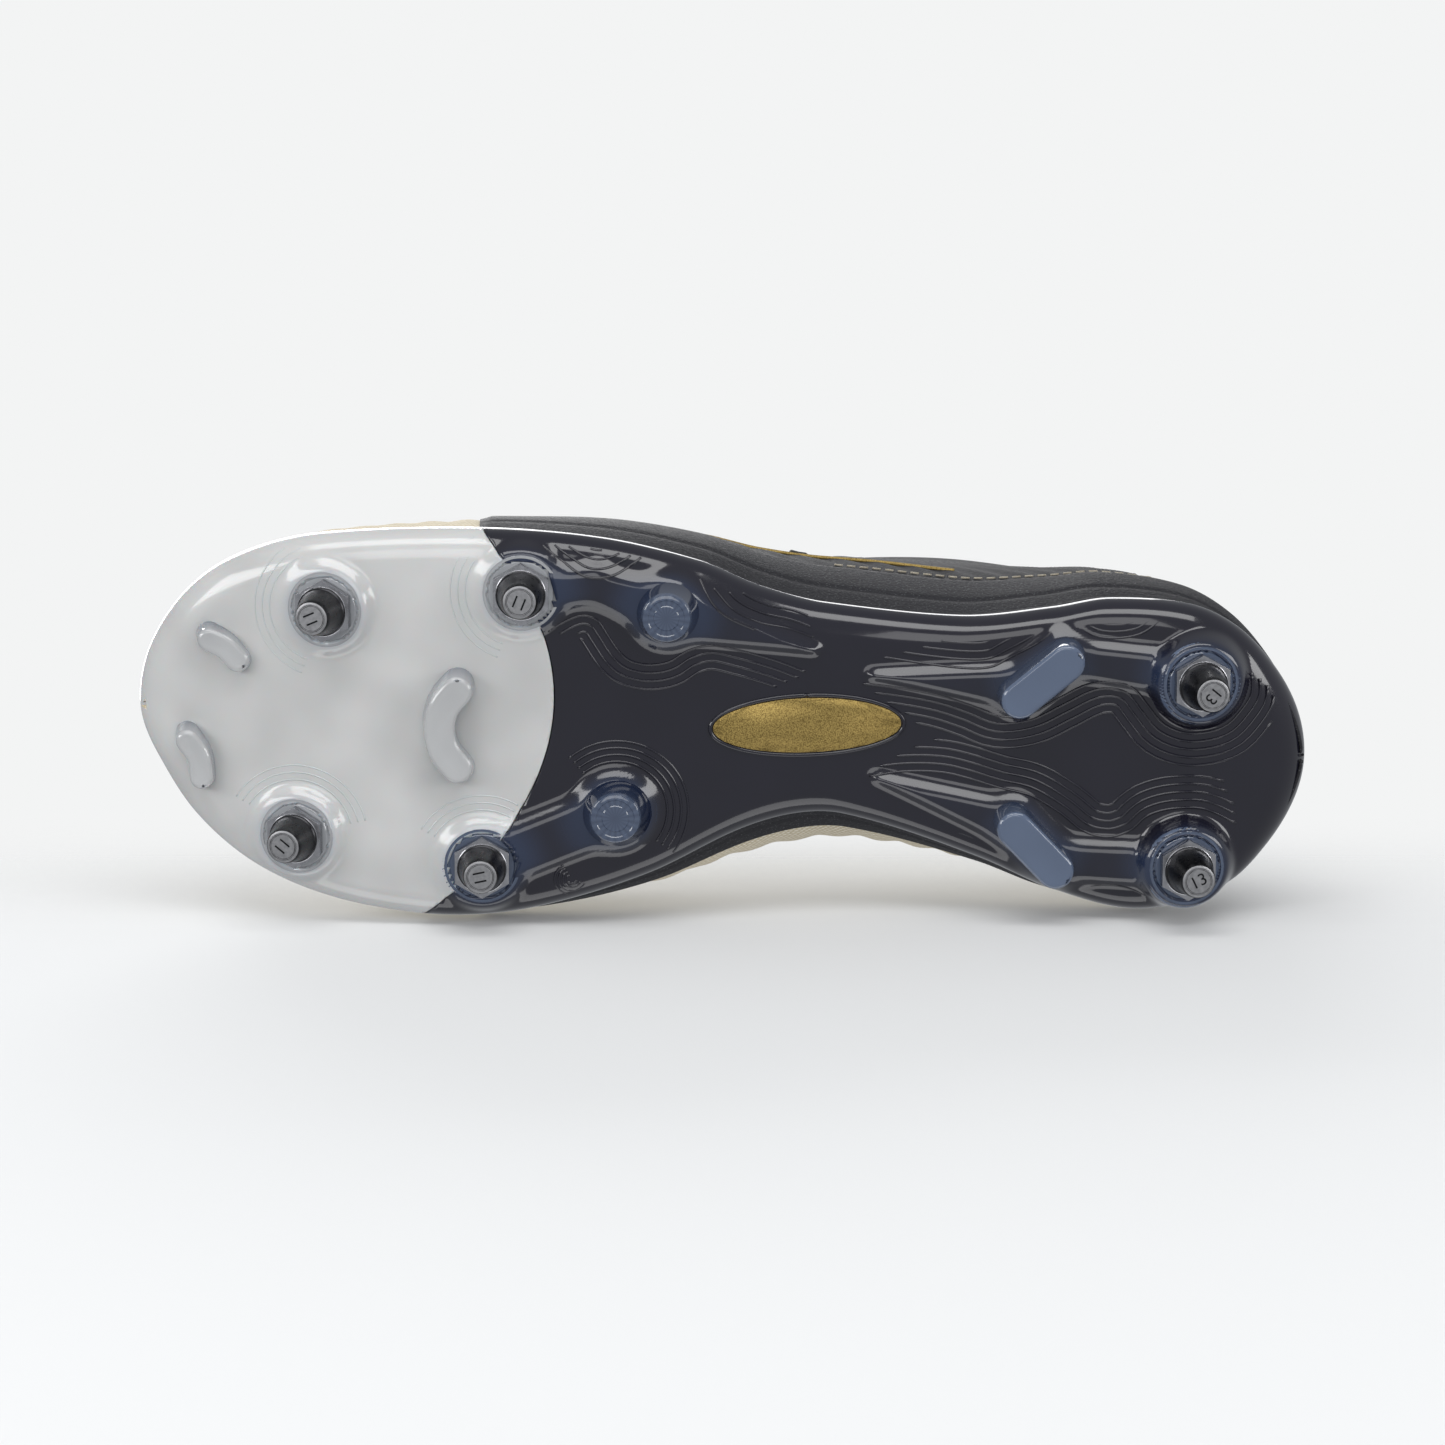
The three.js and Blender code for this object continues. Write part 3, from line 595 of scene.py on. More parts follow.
def cutAtJoint(bm, keepToe, gapWidth=0.15):
    for vert in bm.verts:  # the curved joint is made straight, cut and curved back
        vert.co.y -= jointY(vert.co.x)
    everything = bm.verts[:] + bm.edges[:] + bm.faces[:]
    side = -gapWidth if keepToe else gapWidth
    bmesh.ops.bisect_plane(bm, geom=everything, dist=1e-4, plane_co=(0, side, 0), plane_no=(0, 1, 0),
                           clear_outer=keepToe, clear_inner=not keepToe)
    for vert in bm.verts:
        vert.co.y += jointY(vert.co.x)


def openBosses(bm):  # the boss rings stand in these holes
    for cx, cy, seat, lean, height in studs.values():
        inside = [v for v in bm.verts if math.hypot(v.co.x - cx, v.co.y - cy) < bossShape["opening"]]
        bmesh.ops.delete(bm, geom=inside, context="VERTS")


def setThick(piece, share):  # share(place in millimetres) is 0 for the plain colour, 1 for the deep one; on the plates it follows the plastic's thickness, on the cleats and bosses it also holds painted shade on the walls and painted highlight at the bar cleats' edges
    layer = piece.data.attributes.new("tintAndShade", "FLOAT", "POINT")
    for vert, value in zip(piece.data.vertices, layer.data):
        value.value = share(vert.co / mm)


hazeSpots = [(x, y, 11.5) for x, y, seat, lean, height in studs.values()]
hazeSpots += [(28.6, -13.5, 10), (-20.9, -26, 10.5), (11.9, 77.6, 9), (-30.1, 76.3, 9)]


def plateThick(place):  # the plastic looks milky blue where it is thick
    near = min(math.hypot(place.x - x, place.y - y) - radius for x, y, radius in hazeSpots)
    onRib = 1 - smoothStep(reliefDistance(place.x, place.y, 1.0), -3.0, 1.8)
    return (0.85 * (1 - smoothStep(near, -3, 7)) + 0.12) * onRib


def makePlate(name, keepToe, material, slot):
    bm = makeSoleSurface(340, 140)
    cutAtJoint(bm, keepToe)
    openBosses(bm)
    faceOut(bm)
    if sum(face.normal.z * face.calc_area() for face in bm.faces) > 0:
        bmesh.ops.reverse_faces(bm, faces=bm.faces)
    toMetres(bm)
    piece = shown(name + "_shell", bm, material, replaces=(name,), slot=slot)
    setThick(piece, plateThick)
    addModifier(piece, "SOLIDIFY", thickness=1.9 * mm, offset=-1)


bossShape = {"opening": 7.6, "bore": 5.0, "outer": 10.2, "skirt": 10.9, "depth": 4.2, "segments": 72}
studShape = {
    "gap": 0.3, "hexFlats": 13.2, "hexHeight": 2.2, "collar": 5.95, "shank": 3.0,
    "shankLength": 5.0, "base": 5.9, "tip": 3.85, "segments": 64, "pitch": 1.0,
}
figureTurns = {
    "front_lateral": 24, "front_medial": -38, "middle_lateral": 68, "middle_medial": 12,
    "heel_lateral": 140, "heel_medial": -64,
}


def studPlace(name):  # from a stud's own frame, +Z out of the sole, to the shoe's, in metres
    x, y, seat, lean, height = studs[name]
    turn = Matrix.Rotation(math.pi + math.radians(lean), 4, "X")
    return Matrix.Translation((x * mm, y * mm, seat * mm)) @ turn @ Matrix.Scale(mm, 4)


def turned(profile, segments):  # a closed ring of (radius, height) points spun round Z, in millimetres
    bm = bmesh.new()
    ring = [bm.verts.new((radius, 0, height)) for radius, height in profile]
    edges = [bm.edges.new((ring[i - 1], ring[i])) for i in range(len(ring))]
    if profile[0][0] == 0:
        bm.edges.remove(edges[0])
        edges = edges[1:]
    bmesh.ops.spin(bm, geom=ring + edges, cent=(0, 0, 0), axis=(0, 0, 1), angle=2 * math.pi, steps=segments,
                   use_merge=True)
    bmesh.ops.remove_doubles(bm, verts=bm.verts, dist=0.003)
    faceOut(bm)
    return bm


def softened(bm, width, segments=2, limit=28):  # bevels the sharp edges
    sharp = [e for e in bm.edges if len(e.link_faces) == 2 and e.calc_face_angle(0) > math.radians(limit)]
    bmesh.ops.bevel(bm, geom=sharp, offset=width, offset_type="OFFSET", affect="EDGES", segments=segments,
                    profile=0.5, material=-1, clamp_overlap=True)


def smoothByAngle(piece, degrees=35):
    piece.data.set_sharp_from_angle(angle=math.radians(degrees))


def makeBoss(name):
    s = bossShape
    profile = [
        (s["bore"], -s["depth"]), (s["bore"], -0.25), (s["bore"] + 0.25, 0), (7.7, 0), (8.0, -0.28),
        (8.35, -0.28), (8.6, 0.02), (9.2, 0.05), (9.4, -0.14), (9.75, -0.2), (s["outer"], -0.7),
        (s["outer"] + 0.3, -1.9), (s["skirt"], -s["depth"]),
    ]
    bm = turned(profile, s["segments"])
    bmesh.ops.transform(bm, matrix=studPlace(name), verts=bm.verts)
    toe = studs[name][1] < jointY(studs[name][0])
    plate = "forefoot_plate" if toe else "rear_plate"
    piece = shown(name + "_boss", bm, ice if toe else clear, replaces=(plate,), slot="clear_plastic")
    smoothByAngle(piece, 30)
    place = studPlace(name).inverted()

    # the outer wall darkens towards the plate as painted shade of glassy plastic; the face has concentric
    # bands of tone
    def share(point):
        local = place @ (point * mm)
        radius = math.hypot(local.x, local.y)
        return smoothStep(-local.z, 0.5, 2.4) if radius > 9.3 else 0.25 + 0.2 * math.sin(radius * 5)

    setThick(piece, share)


def makeStudBase(name):
    s = studShape
    across = s["hexFlats"] / math.sqrt(3)
    top = s["gap"] + s["hexHeight"]
    bm = bmesh.new()
    bmesh.ops.create_cone(bm, cap_ends=True, segments=6, radius1=across, radius2=across, depth=s["hexHeight"])
    bmesh.ops.rotate(bm, verts=bm.verts, cent=(0, 0, 0), matrix=Matrix.Rotation(math.pi / 6, 3, "Z"))
    bmesh.ops.translate(bm, verts=bm.verts, vec=(0, 0, s["gap"] + s["hexHeight"] / 2))
    cap = max(bm.faces, key=lambda f: f.calc_center_median().z)
    bmesh.ops.inset_region(bm, faces=[cap], thickness=0.01)
    softened(bm, 0.28)
    bmesh.ops.transform(bm, matrix=studPlace(name), verts=bm.verts)
    hexPiece = shown(name + "_stud_hexagon", bm, steel, body=name + "_base", replaces=(name + "_stud_base",),
                     slot="steel")
    smoothByAngle(hexPiece, 30)
    profile = [(0, -s["shankLength"]), (s["shank"] - 0.6, -s["shankLength"])]
    height = 0.4 - s["shankLength"]
    while height < -0.9:  # thread crests
        profile += [(s["shank"] - 0.35, height), (s["shank"], height + 0.25), (s["shank"], height + 0.4),
                    (s["shank"] - 0.35, height + 0.65)]
        height += s["pitch"]
    profile += [(s["shank"] - 0.3, -0.1), (s["shank"] - 0.3, s["gap"] + 0.4), (0, s["gap"] + 0.4)]
    shank = turned(profile, 32)
    bmesh.ops.transform(shank, matrix=studPlace(name), verts=shank.verts)
    shankPiece = shown(name + "_stud_shank", shank, steel, body=name + "_base",
                       replaces=(name + "_stud_base",), slot="steel")
    smoothByAngle(shankPiece, 30)
    c = s["collar"]
    collar = turned([(c, top - 0.1), (c, top + 0.08), (c + 0.1, top + 0.14), (c + 0.2, top + 0.08),
                     (c + 0.2, top - 0.1)], s["segments"])
    bmesh.ops.transform(collar, matrix=studPlace(name), verts=collar.verts)
    collarPiece = shown(name + "_stud_collar", collar, steel, body=name + "_base",
                        replaces=(name + "_stud_base",), slot="steel")
    smoothByAngle(collarPiece, 40)


def makeStudCone(name):
    s = studShape
    height = studs[name][4]
    foot = s["gap"] + s["hexHeight"] - 0.5
    profile = [
        (0, foot), (s["base"] - 0.2, foot), (s["base"], foot + 0.2), (s["base"], foot + 1.1),
        (s["base"] - 0.25, foot + 1.35), (s["tip"] + 0.62, height - 1.5), (s["tip"] + 0.38, height - 0.55),
        (s["tip"] + 0.1, height - 0.12), (s["tip"] - 0.15, height),
        (s["tip"] - 0.5, height), (s["tip"] - 0.62, height - 0.1), (s["tip"] - 0.78, height - 0.1),
        (s["tip"] - 0.9, height), (0, height),
    ]
    bm = turned(profile, s["segments"])
    bmesh.ops.transform(bm, matrix=studPlace(name), verts=bm.verts)
    piece = shown(name + "_stud_cone_turned", bm, gunmetal, body=name + "_cone",
                  replaces=(name + "_stud_cone",), slot="gunmetal")
    piece.data.materials.append(tipMetal)
    smoothByAngle(piece, 30)
    outward = (studPlace(name).to_3x3() @ Vector((0, 0, 1))).normalized()
    tipFace = studPlace(name) @ Vector((0, 0, height - 0.3))
    for face in piece.data.polygons:
        if (face.center - tipFace).dot(outward) > 0 and face.normal.dot(outward) > 0.9:
            face.material_index = 1
    text = bpy.data.curves.new(name + "_figure", "FONT")
    text.body = str(height)
    text.size = 4.3
    text.align_x = "CENTER"
    text.align_y = "CENTER"
    text.extrude = 0.04
    figure = meshOfCurve(name + "_figure_text", text)
    turn = Matrix.Rotation(math.radians(figureTurns[name]), 4, "Z")
    place = studPlace(name) @ Matrix.Translation((0, 0, height + 0.01)) @ turn
    bmesh.ops.transform(figure, matrix=place, verts=figure.verts)
    shown(name + "_stud_figure", figure, engraved, body=name + "_cone", replaces=(name + "_stud_cone",),
          slot="gunmetal", smooth=False)


cleatShapes = {  # bars follow their points, cones stand on theirs; tip is the height of the end
    "toe_cleat_lateral": {"points": ((21.4, -124.4), (19.6, -120.8), (16.4, -117.8)),
                          "radius": 2.8, "tip": 14.6},
    "toe_cleat_medial": {"points": ((-4.2, -130.4), (-8.2, -127.8), (-13.2, -127.2)),
                         "radius": 2.8, "tip": 16.2},
    "centre_cleat": {"points": ((10.2, -64.2), (6.3, -67.3), (1.0, -68.5), (-4.4, -67.4), (-8.6, -64.3)),
                     "radius": 3.7, "tip": 6.6},
    "cone_cleat_lateral": {"points": ((28.6, -13.5),), "radius": 8.6, "tipRadius": 5.8, "tip": 6.4},
    "cone_cleat_medial": {"points": ((-20.9, -26),), "radius": 9.2, "tipRadius": 6, "tip": 5.8},
    "blade_cleat_lateral": {"points": ((7.3, 72.1), (16.5, 83.2)), "radius": 4.5, "tip": 10.4},
    "blade_cleat_medial": {"points": ((-25, 71.4), (-35.3, 81.2)), "radius": 4.5, "tip": 10.4},
}


def smoothRoute(points, count):  # evenly spaced places on a smooth curve through points
    places = [Vector(p) for p in points]
    ways = [0]
    for a, b in zip(places, places[1:]):
        ways.append(ways[-1] + (b - a).length)
    curves = [through([(w, p[axis]) for w, p in zip(ways, places)]) for axis in range(len(places[0]))]
    return [Vector([curve(ways[-1] * i / (count - 1)) for curve in curves]) for i in range(count)]


def sideways(route):  # unit directions across a plan route
    found = []
    for i in range(len(route)):
        way = route[min(i + 1, len(route) - 1)] - route[max(i - 1, 0)]
        found.append(Vector((way.y, -way.x)).normalized())
    return found


def barOutline(points, radius):
    route = smoothRoute(points, 13)
    across = sideways(route)
    outline = [p + a * radius for p, a in zip(route, across)]
    for end, start in ((route[-1], across[-1]), (route[0], -across[0])):
        for i in range(1, 12):
            outline.append(end + Matrix.Rotation(math.pi * i / 12, 2) @ start * radius)
        if end == route[-1]:
            outline += [p - a * radius for p, a in zip(route[::-1], across[::-1])]
    return outline


def makeBarCleat(name, material):
    c = cleatShapes[name]
    root = min(undersideZ(x, y) for x, y in c["points"]) + 1.6
    outline = barOutline(c["points"], c["radius"])
    bm = bmesh.new()
    corners = [bm.verts.new((p.x, p.y, c["tip"])) for p in outline]
    tip = bm.faces.new(corners)
    middle = tip.calc_center_median()
    walls = bmesh.ops.extrude_face_region(bm, geom=[tip])
    raised = [g for g in walls["geom"] if isinstance(g, bmesh.types.BMVert)]
    bmesh.ops.translate(bm, verts=raised, vec=(0, 0, root - c["tip"]))
    bmesh.ops.remove_doubles(bm, verts=bm.verts, dist=0.01)
    spread = 1 + 0.45 / c["radius"]  # drafted sides
    for vert in bm.verts:
        if vert.co.z > c["tip"] + 0.1:
            vert.co.x = middle.x + (vert.co.x - middle.x) * spread
            vert.co.y = middle.y + (vert.co.y - middle.y) * spread
    faceOut(bm)
    sharp = [e for e in bm.edges if all(v.co.z < c["tip"] + 0.1 for v in e.verts)]
    bmesh.ops.bevel(bm, geom=sharp, offset=0.9, offset_type="OFFSET", affect="EDGES", segments=4,
                    profile=0.5, material=-1, clamp_overlap=True)

    def endFace():
        return min(bm.faces, key=lambda f: f.calc_center_median().z)

    for thickness, depth in ((0.5, -0.12), (0.7, 0)):  # the end face is dished
        bmesh.ops.inset_region(bm, faces=[endFace()], thickness=thickness, depth=depth)
    inside = {tuple(round(n, 2) for n in v.co) for v in endFace().verts}
    toMetres(bm)
    piece = shown(name + "_moulded", bm, material, replaces=(name,), slot="clear_plastic")
    smoothByAngle(piece, 50)

    def share(place):  # deep in the middle of the end face and towards the root, pale at the edges: the dark walls are painted shade of glassy plastic, the pale edges a painted highlight
        if tuple(round(n, 2) for n in place) in inside:
            return 0.8
        return smoothStep(place.z, c["tip"] + 0.3, c["tip"] + 1.9)

    setThick(piece, share)


def makeConeCleat(name):
    c = cleatShapes[name]
    x, y = c["points"][0]
    root = undersideZ(x, y) + 1.6
    tall = root - c["tip"]
    r, t = c["radius"], c["tipRadius"]
    profile = [
        (0, 0), (t - 2.9, 0), (t - 2.7, 0.18), (t - 1.5, 0.18), (t - 1.3, 0), (t - 0.5, 0),
        (t - 0.1, 0.2), (t + 0.15, 0.75), (t + 0.35, 1.4), (r - 0.9, tall - 4.2), (r - 0.55, tall - 3.4),
        (r + 0.1, tall - 2.6), (r + 0.9, tall - 2.2), (r + 0.9, tall), (0, tall),
    ]
    bm = turned(profile, 72)
    bmesh.ops.translate(bm, verts=bm.verts, vec=(x, y, c["tip"]))
    toMetres(bm)
    piece = shown(name + "_moulded", bm, clear, replaces=(name,), slot="clear_plastic")
    smoothByAngle(piece, 32)

    # painted facet reflections as radial stripes of tone on the flat end face, and painted shade as the wall
    # darkens towards the root
    def share(place):
        around = math.atan2(place.y - y, place.x - x)
        if place.z < c["tip"] + 0.5:
            return 0.3 + 0.25 * math.cos(around * 9) ** 2
        return 0.35 + 0.65 * smoothStep(place.z, c["tip"] + 0.6, c["tip"] + 1.8)

    setThick(piece, share)


lineShape = {"radius": 0.34, "samples": 70}
edgeLines = {  # the lines in the valley at the outer edge run between these two
    "outer": ((46.9, -38.0), (44.4, -33.0), (43.6, -29.6), (44.2, -26.4), (45.4, -24.0)),
    "inner": ((46.2, -44.8), (41.4, -38.6), (38.0, -32.8), (38.2, -26.0), (42.3, -18.6)),
    "count": 4,
}
# Plan route, number of lines, their distance apart and the side they step to, and how much shorter each is
contours = (
    (((23.5, -43.0), (26.6, -37.9), (28.0, -33.7), (26.9, -30.5), (23.5, -28.1), (19.2, -25.3), (16.5, -22.1),
      (15.5, -17.4), (16.2, -12.8), (18.9, -8.1), (20.0, -2.5), (18.5, 3.8), (15.4, 13.1), (12.4, 20.2)),
     4, -2.0, 0.05),
    (((36.3, -5.5), (30.5, -2.4), (27.2, 1.3), (23.9, 7.8)), 1, 2.0, 0),
    (((33.9, -2.1), (28.8, 2.6), (25.5, 8.8), (23.4, 16.2), (21.0, 22.1)), 3, 2.1, 0.12),
    (((15.6, 39.5), (14.1, 49.3), (13.2, 59.7), (13.7, 65.7), (16.0, 70.1), (19.4, 76.1), (22.9, 80.6)),
     4, 2.0, 0.1),
    (((25.1, 85), (21.9, 90.2), (21.2, 95.4), (22.3, 101.4), (25.7, 106.6)), 3, 1.6, 0.06),
    (((9.1, 34.3), (8.0, 43.3), (6.2, 53), (3.8, 60.5), (1.3, 67.2), (2.3, 74.6), (6.1, 82.1), (9.9, 89.5),
      (10.7, 95.4), (9.1, 99.9), (4.5, 103.6), (0, 107.4), (-2.3, 112.6), (-2.3, 117.8), (-0.8, 123),
      (3.0, 126.7), (6.8, 129), (12.2, 129.1)), 5, -2.0, 0.035),
    (((-14, 36), (-13, 45), (-13.2, 54), (-14.8, 61), (-16.8, 68), (-18.4, 75), (-22.6, 82.5), (-27.5, 89),
      (-28.6, 95), (-26.8, 100), (-23.2, 104), (-21.4, 110), (-21.6, 118), (-25.4, 126)), 5, 2.0, 0.04),
    (((-26.2, 44), (-27.4, 52), (-29.2, 60), (-32.8, 66.4), (-38.4, 71.4)), 4, -2.0, 0.08),
    (((-44.2, 86), (-42.4, 92), (-42.6, 98), (-45.2, 104)), 2, 1.6, 0.06),
)
coneArcs = {"centre": (-20.9, -26.0), "radii": (12.5, 14.2, 15.9, 17.6), "from": -40, "to": 128}
nestedArcs = {"centre": (-37.8, -36.8), "radii": (1.2, 2.2, 3.2, 4.2), "from": 110, "to": 330}


def lineRoutes():
    for points, count, apart, shorter in contours:
        route = smoothRoute(points, lineShape["samples"])
        across = sideways(route)
        for i in range(count):
            cut = int(shorter * i * len(route))
            kept = [p + a * apart * i for p, a in zip(route, across)]
            yield kept[cut : len(kept) - cut // 2]
    outer = smoothRoute(edgeLines["outer"], lineShape["samples"])
    inner = smoothRoute(edgeLines["inner"], lineShape["samples"])
    for i in range(edgeLines["count"]):
        yield [a.lerp(b, i / (edgeLines["count"] - 1)) for a, b in zip(outer, inner)]
    for arcs in (coneArcs, nestedArcs):
        for radius in arcs["radii"]:
            steps = max(int(radius * 4), 12)
            angles = [math.radians(mix(arcs["from"], arcs["to"], i / steps)) for i in range(steps + 1)]
            yield [Vector(arcs["centre"]) + Vector((math.cos(a), math.sin(a))) * radius for a in angles]


def insideSole(x, y, margin):
    along = alongAt(y)
    return abs(y) < halfLength - 8 and medialX(along) + margin < x < lateralX(along) - margin


def sweptTube(routes, radius, sides=2):  # a bmesh of round beads along routes, in millimetres
    data = bpy.data.curves.new("bead", "CURVE")
    data.dimensions = "3D"
    data.bevel_depth = radius
    data.bevel_resolution = sides
    data.use_fill_caps = True
    for route in routes:
        spline = data.splines.new("POLY")
        spline.points.add(len(route) - 1)
        for point, place in zip(spline.points, route):
            point.co = (*place, 1)
    bm = meshOfCurve("bead", data)
    bmesh.ops.remove_doubles(bm, verts=bm.verts, dist=0.002)
    faceOut(bm)
    return bm


def onSole(route, sink):
    return [Vector((p.x, p.y, soleZ(p.x, p.y, rimRiseAt(p.x, p.y)) + sink)) for p in route]


def rimRiseAt(x, y):  # how far the rolled edge has turned up here
    along = alongAt(y)
    reach = min(lateralX(along) - x, x - medialX(along))
    k = clamp(1 - reach / rim["roll"], 0, 1)
    return rim["rise"] * (1 - math.sqrt(1 - k * k))


def keptRuns(route, margin, keepToe):  # the stretches of a route that lie on one plate
    run = []
    for p in [*route, None]:
        ahead = p and (jointY(p.x) - p.y) * (1 if keepToe else -1)
        if p and ahead > 1 and insideSole(p.x, p.y, margin):
            run.append(p)
        else:
            if len(run) > 8:
                yield run
            run = []


def makeContours():
    routes = [onSole(run, 0.06) for route in lineRoutes() for run in keptRuns(route, 2.4, False)]
    bm = sweptTube(routes, lineShape["radius"])
    toMetres(bm)
    shown("rear_plate_contour_lines", bm, navy, replaces=("rear_plate",), slot="navy_plastic")
    frontRoutes = []
    for name in ("front_lateral", "front_medial", "middle_lateral", "middle_medial"):
        cx, cy = studs[name][:2]
        for radius in (13.6, 15.4, 17.2):
            start = math.radians(200 if cx > 0 else -60)
            angles = [start + i / 44 * 2.4 for i in range(45)]
            arc = [Vector((cx + radius * math.cos(a), cy + radius * math.sin(a))) for a in angles]
            frontRoutes += [onSole(run, 0.1) for run in keptRuns(arc, 1.5, True)]
    front = sweptTube(frontRoutes, 0.2)
    toMetres(front)
    shown("forefoot_plate_contour_lines", front, milky, replaces=("forefoot_plate",), slot="milky_plastic")


badgeShape = {"x": -0.9, "y": 20.7, "halfLength": 23, "halfWidth": 6.8, "thickness": 0.5, "gap": 0.3}


def makeBadge():
    b = badgeShape
    bm = bmesh.new()
    bmesh.ops.create_circle(bm, cap_ends=True, radius=1, segments=96)
    for thickness, depth in ((0.1, 0.0), (0.05, 0.12), (0.05, 0.0), (0.06, 0.0), (0.05, 0.1), (0.05, 0.0)):
        inner = max(bm.faces, key=lambda f: len(f.verts))
        bmesh.ops.inset_region(bm, faces=[inner], thickness=thickness, depth=depth)
    bmesh.ops.triangulate(bm, faces=[max(bm.faces, key=lambda f: len(f.verts))])
    bmesh.ops.subdivide_edges(bm, edges=bm.edges, cuts=1, use_grid_fill=True)
    for vert in bm.verts:
        x = b["x"] + vert.co.x * b["halfWidth"]
        y = b["y"] + vert.co.y * b["halfLength"]
        vert.co = Vector((x, y, undersideZ(x, y) - b["gap"] - b["thickness"] + vert.co.z * 1.6))
    faceOut(bm)
    if sum(face.normal.z for face in bm.faces) > 0:
        bmesh.ops.reverse_faces(bm, faces=bm.faces)
    toMetres(bm)
    piece = shown("sole_badge_plaque", bm, gold, replaces=("sole_badge",), slot="gold_foil")
    addModifier(piece, "SOLIDIFY", thickness=0.9 * mm, offset=-1)
    smoothByAngle(piece, 40)
    wide, long = b["halfWidth"] + 0.7, b["halfLength"] + 0.7
    rimRoute = []
    for i in range(121):
        angle = 2 * math.pi * i / 120
        x, y = b["x"] + wide * math.cos(angle), b["y"] + long * math.sin(angle)
        rimRoute.append(Vector((x, y, undersideZ(x, y) - 0.15)))
    rimBead = sweptTube([rimRoute], 0.5, 3)
    toMetres(rimBead)
    shown("sole_badge_rim", rimBead, navy, replaces=("sole_badge",), slot="navy_plastic")


makePlate("forefoot_plate", True, milky, "milky_plastic")
makePlate("rear_plate", False, navy, "navy_plastic")
print("plates made")
for studName in studs:
    makeBoss(studName)
    makeStudBase(studName)
    makeStudCone(studName)
    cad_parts[studName + "_stud_insert"].data.materials.clear()
    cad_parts[studName + "_stud_insert"].data.materials.append(steel)
for cleatName in cleatShapes:
    if "tipRadius" in cleatShapes[cleatName]:
        makeConeCleat(cleatName)
    else:
        makeBarCleat(cleatName, clear if cleatName.startswith("blade") else ice)
makeContours()
makeBadge()
print("studs, cleats, lines and badge made")


def spine(along):  # the foot's middle beside a place on the upper
    y = mix(-108, 104, smoothStep(along, 0.05, 0.95))
    beside = alongAt(y)
    return Vector(((lateralX(beside) + medialX(beside)) / 2, y, mix(40, 52, along)))


def upperSkin(side, along, up):  # side 1 is outer, -1 inner; up runs from the sole (0) to the top line (1)
    inset = 3.4
    edge = lateralX(along) if side > 0 else medialX(along)
    middle = (lateralX(along) + medialX(along)) / 2
    half = abs(edge - middle)
    footX = middle + (edge - middle) * max(1 - inset / max(half, inset), 0.1)
    footY = yAt(along) * (1 - inset / halfLength)
    foot = Vector((footX, footY, undersideZ(footX, footY) + plateThickness + 0.8))
    core = spine(along)
    top = Vector((core.x + side * topHalfWidth(along), topY(along), topZ(along)))
    height = top.z - foot.z
    outward = Vector((edge - middle, (yAt(along) - core.y) * 0.9, 0)).normalized()
    across = Vector((foot.x - top.x, foot.y - top.y, 0))
    reach = across.length
    across.normalize()
    step = 0.01
    run = max(topY(along + step) - topY(along - step), 0.5)
    across.z = clamp(across.y * (topZ(along + step) - topZ(along - step)) / run, -0.5, 0.5)
    wall = smoothStep(along, vampEnd - 0.02, throatEnd + 0.05)
    low = foot + outward * swells[side](along) + Vector((0, 0, height * 0.5))
    high = top + across * reach * mix(0.62, 0.2, wall)
    high.z -= height * 0.28 * wall
    k = 1 - up
    return foot * k**3 + low * (3 * k * k * up) + high * (3 * k * up * up) + top * up**3


def upperNormal(side, along, up):
    step = 0.006

    def at(a, u):
        return upperSkin(side, clamp(a, 0, 1), clamp(u, 0, 1))

    lengthwise = at(along + step, up) - at(along - step, up)
    upwards = at(along, up + step) - at(along, up - step)
    return lengthwise.cross(upwards) * side


def upperPlace(side, along, up, offset):
    away = upperNormal(side, along, up).normalized()
    if along < 1e-6 or along > 1 - 1e-6 or (up > 1 - 1e-6 and along <= vampEnd):
        away += upperNormal(-side, along, up).normalized()
    if away.length < 0.5:
        away = upperSkin(side, along, up) - spine(along)
    return upperSkin(side, along, up) + away.normalized() * offset


def upperGrid(p, rows, columns, offset):
    # offset(along, up, side) is how far the grid stands off the skin
    bm = bmesh.new()
    uv = bm.loops.layers.uv.new("UVMap")
    bmesh.ops.create_grid(bm, x_segments=columns, y_segments=rows, size=1, calc_uvs=True)
    lengthwise, upwards = 0.34 * (p["to"] - p["from"]), 0.1 * (p["high"] - p["low"])
    for face in bm.faces:
        for loop in face.loops:
            u, v = loop[uv].uv
            loop[uv].uv = (u * (upwards * 2 if p["side"] == 0 else upwards), v * lengthwise)
            if p.get("heel"):
                loop[uv].uv = (v * upwards, u * lengthwise * 2)
    for vert in bm.verts:
        across, ahead = clamp(vert.co.x, -1, 1), clamp((vert.co.y + 1) / 2, 0, 1)
        side = p["side"]
        if p.get("heel"):  # goes round the heel from one side to the other
            side = 1 if across >= 0 else -1
            along, up = mix(p["to"], p["from"], abs(across)), mix(p["low"], p["high"], ahead)
        elif side == 0:  # goes over the ridge
            side = 1 if across >= 0 else -1
            along, up = mix(p["from"], p["to"], ahead), mix(p["high"], p["low"], abs(across))
        else:
            along, up = mix(p["from"], p["to"], ahead), mix(p["low"], p["high"], (across + 1) / 2)
        vert.co = upperPlace(side, along, up, offset(along, up, side))
    bmesh.ops.remove_doubles(bm, verts=bm.verts, dist=0.02)
    faceOut(bm)
    middle = Vector((0, (yAt(p["from"]) + yAt(p["to"])) * 0.4, 45))
    outwards = 0
    for face in bm.faces:
        away = (face.calc_center_median() - middle).normalized()
        outwards += away.dot(face.normal) * face.calc_area()
    if outwards < 0:
        bmesh.ops.reverse_faces(bm, faces=bm.faces)
    toMetres(bm)
    return bm


def upperSheet(start, end, low, high, side, rows, columns, heel=False):
    return {"from": start, "to": end, "low": low, "high": high, "side": side, "rows": rows,
            "columns": columns, "heel": heel}


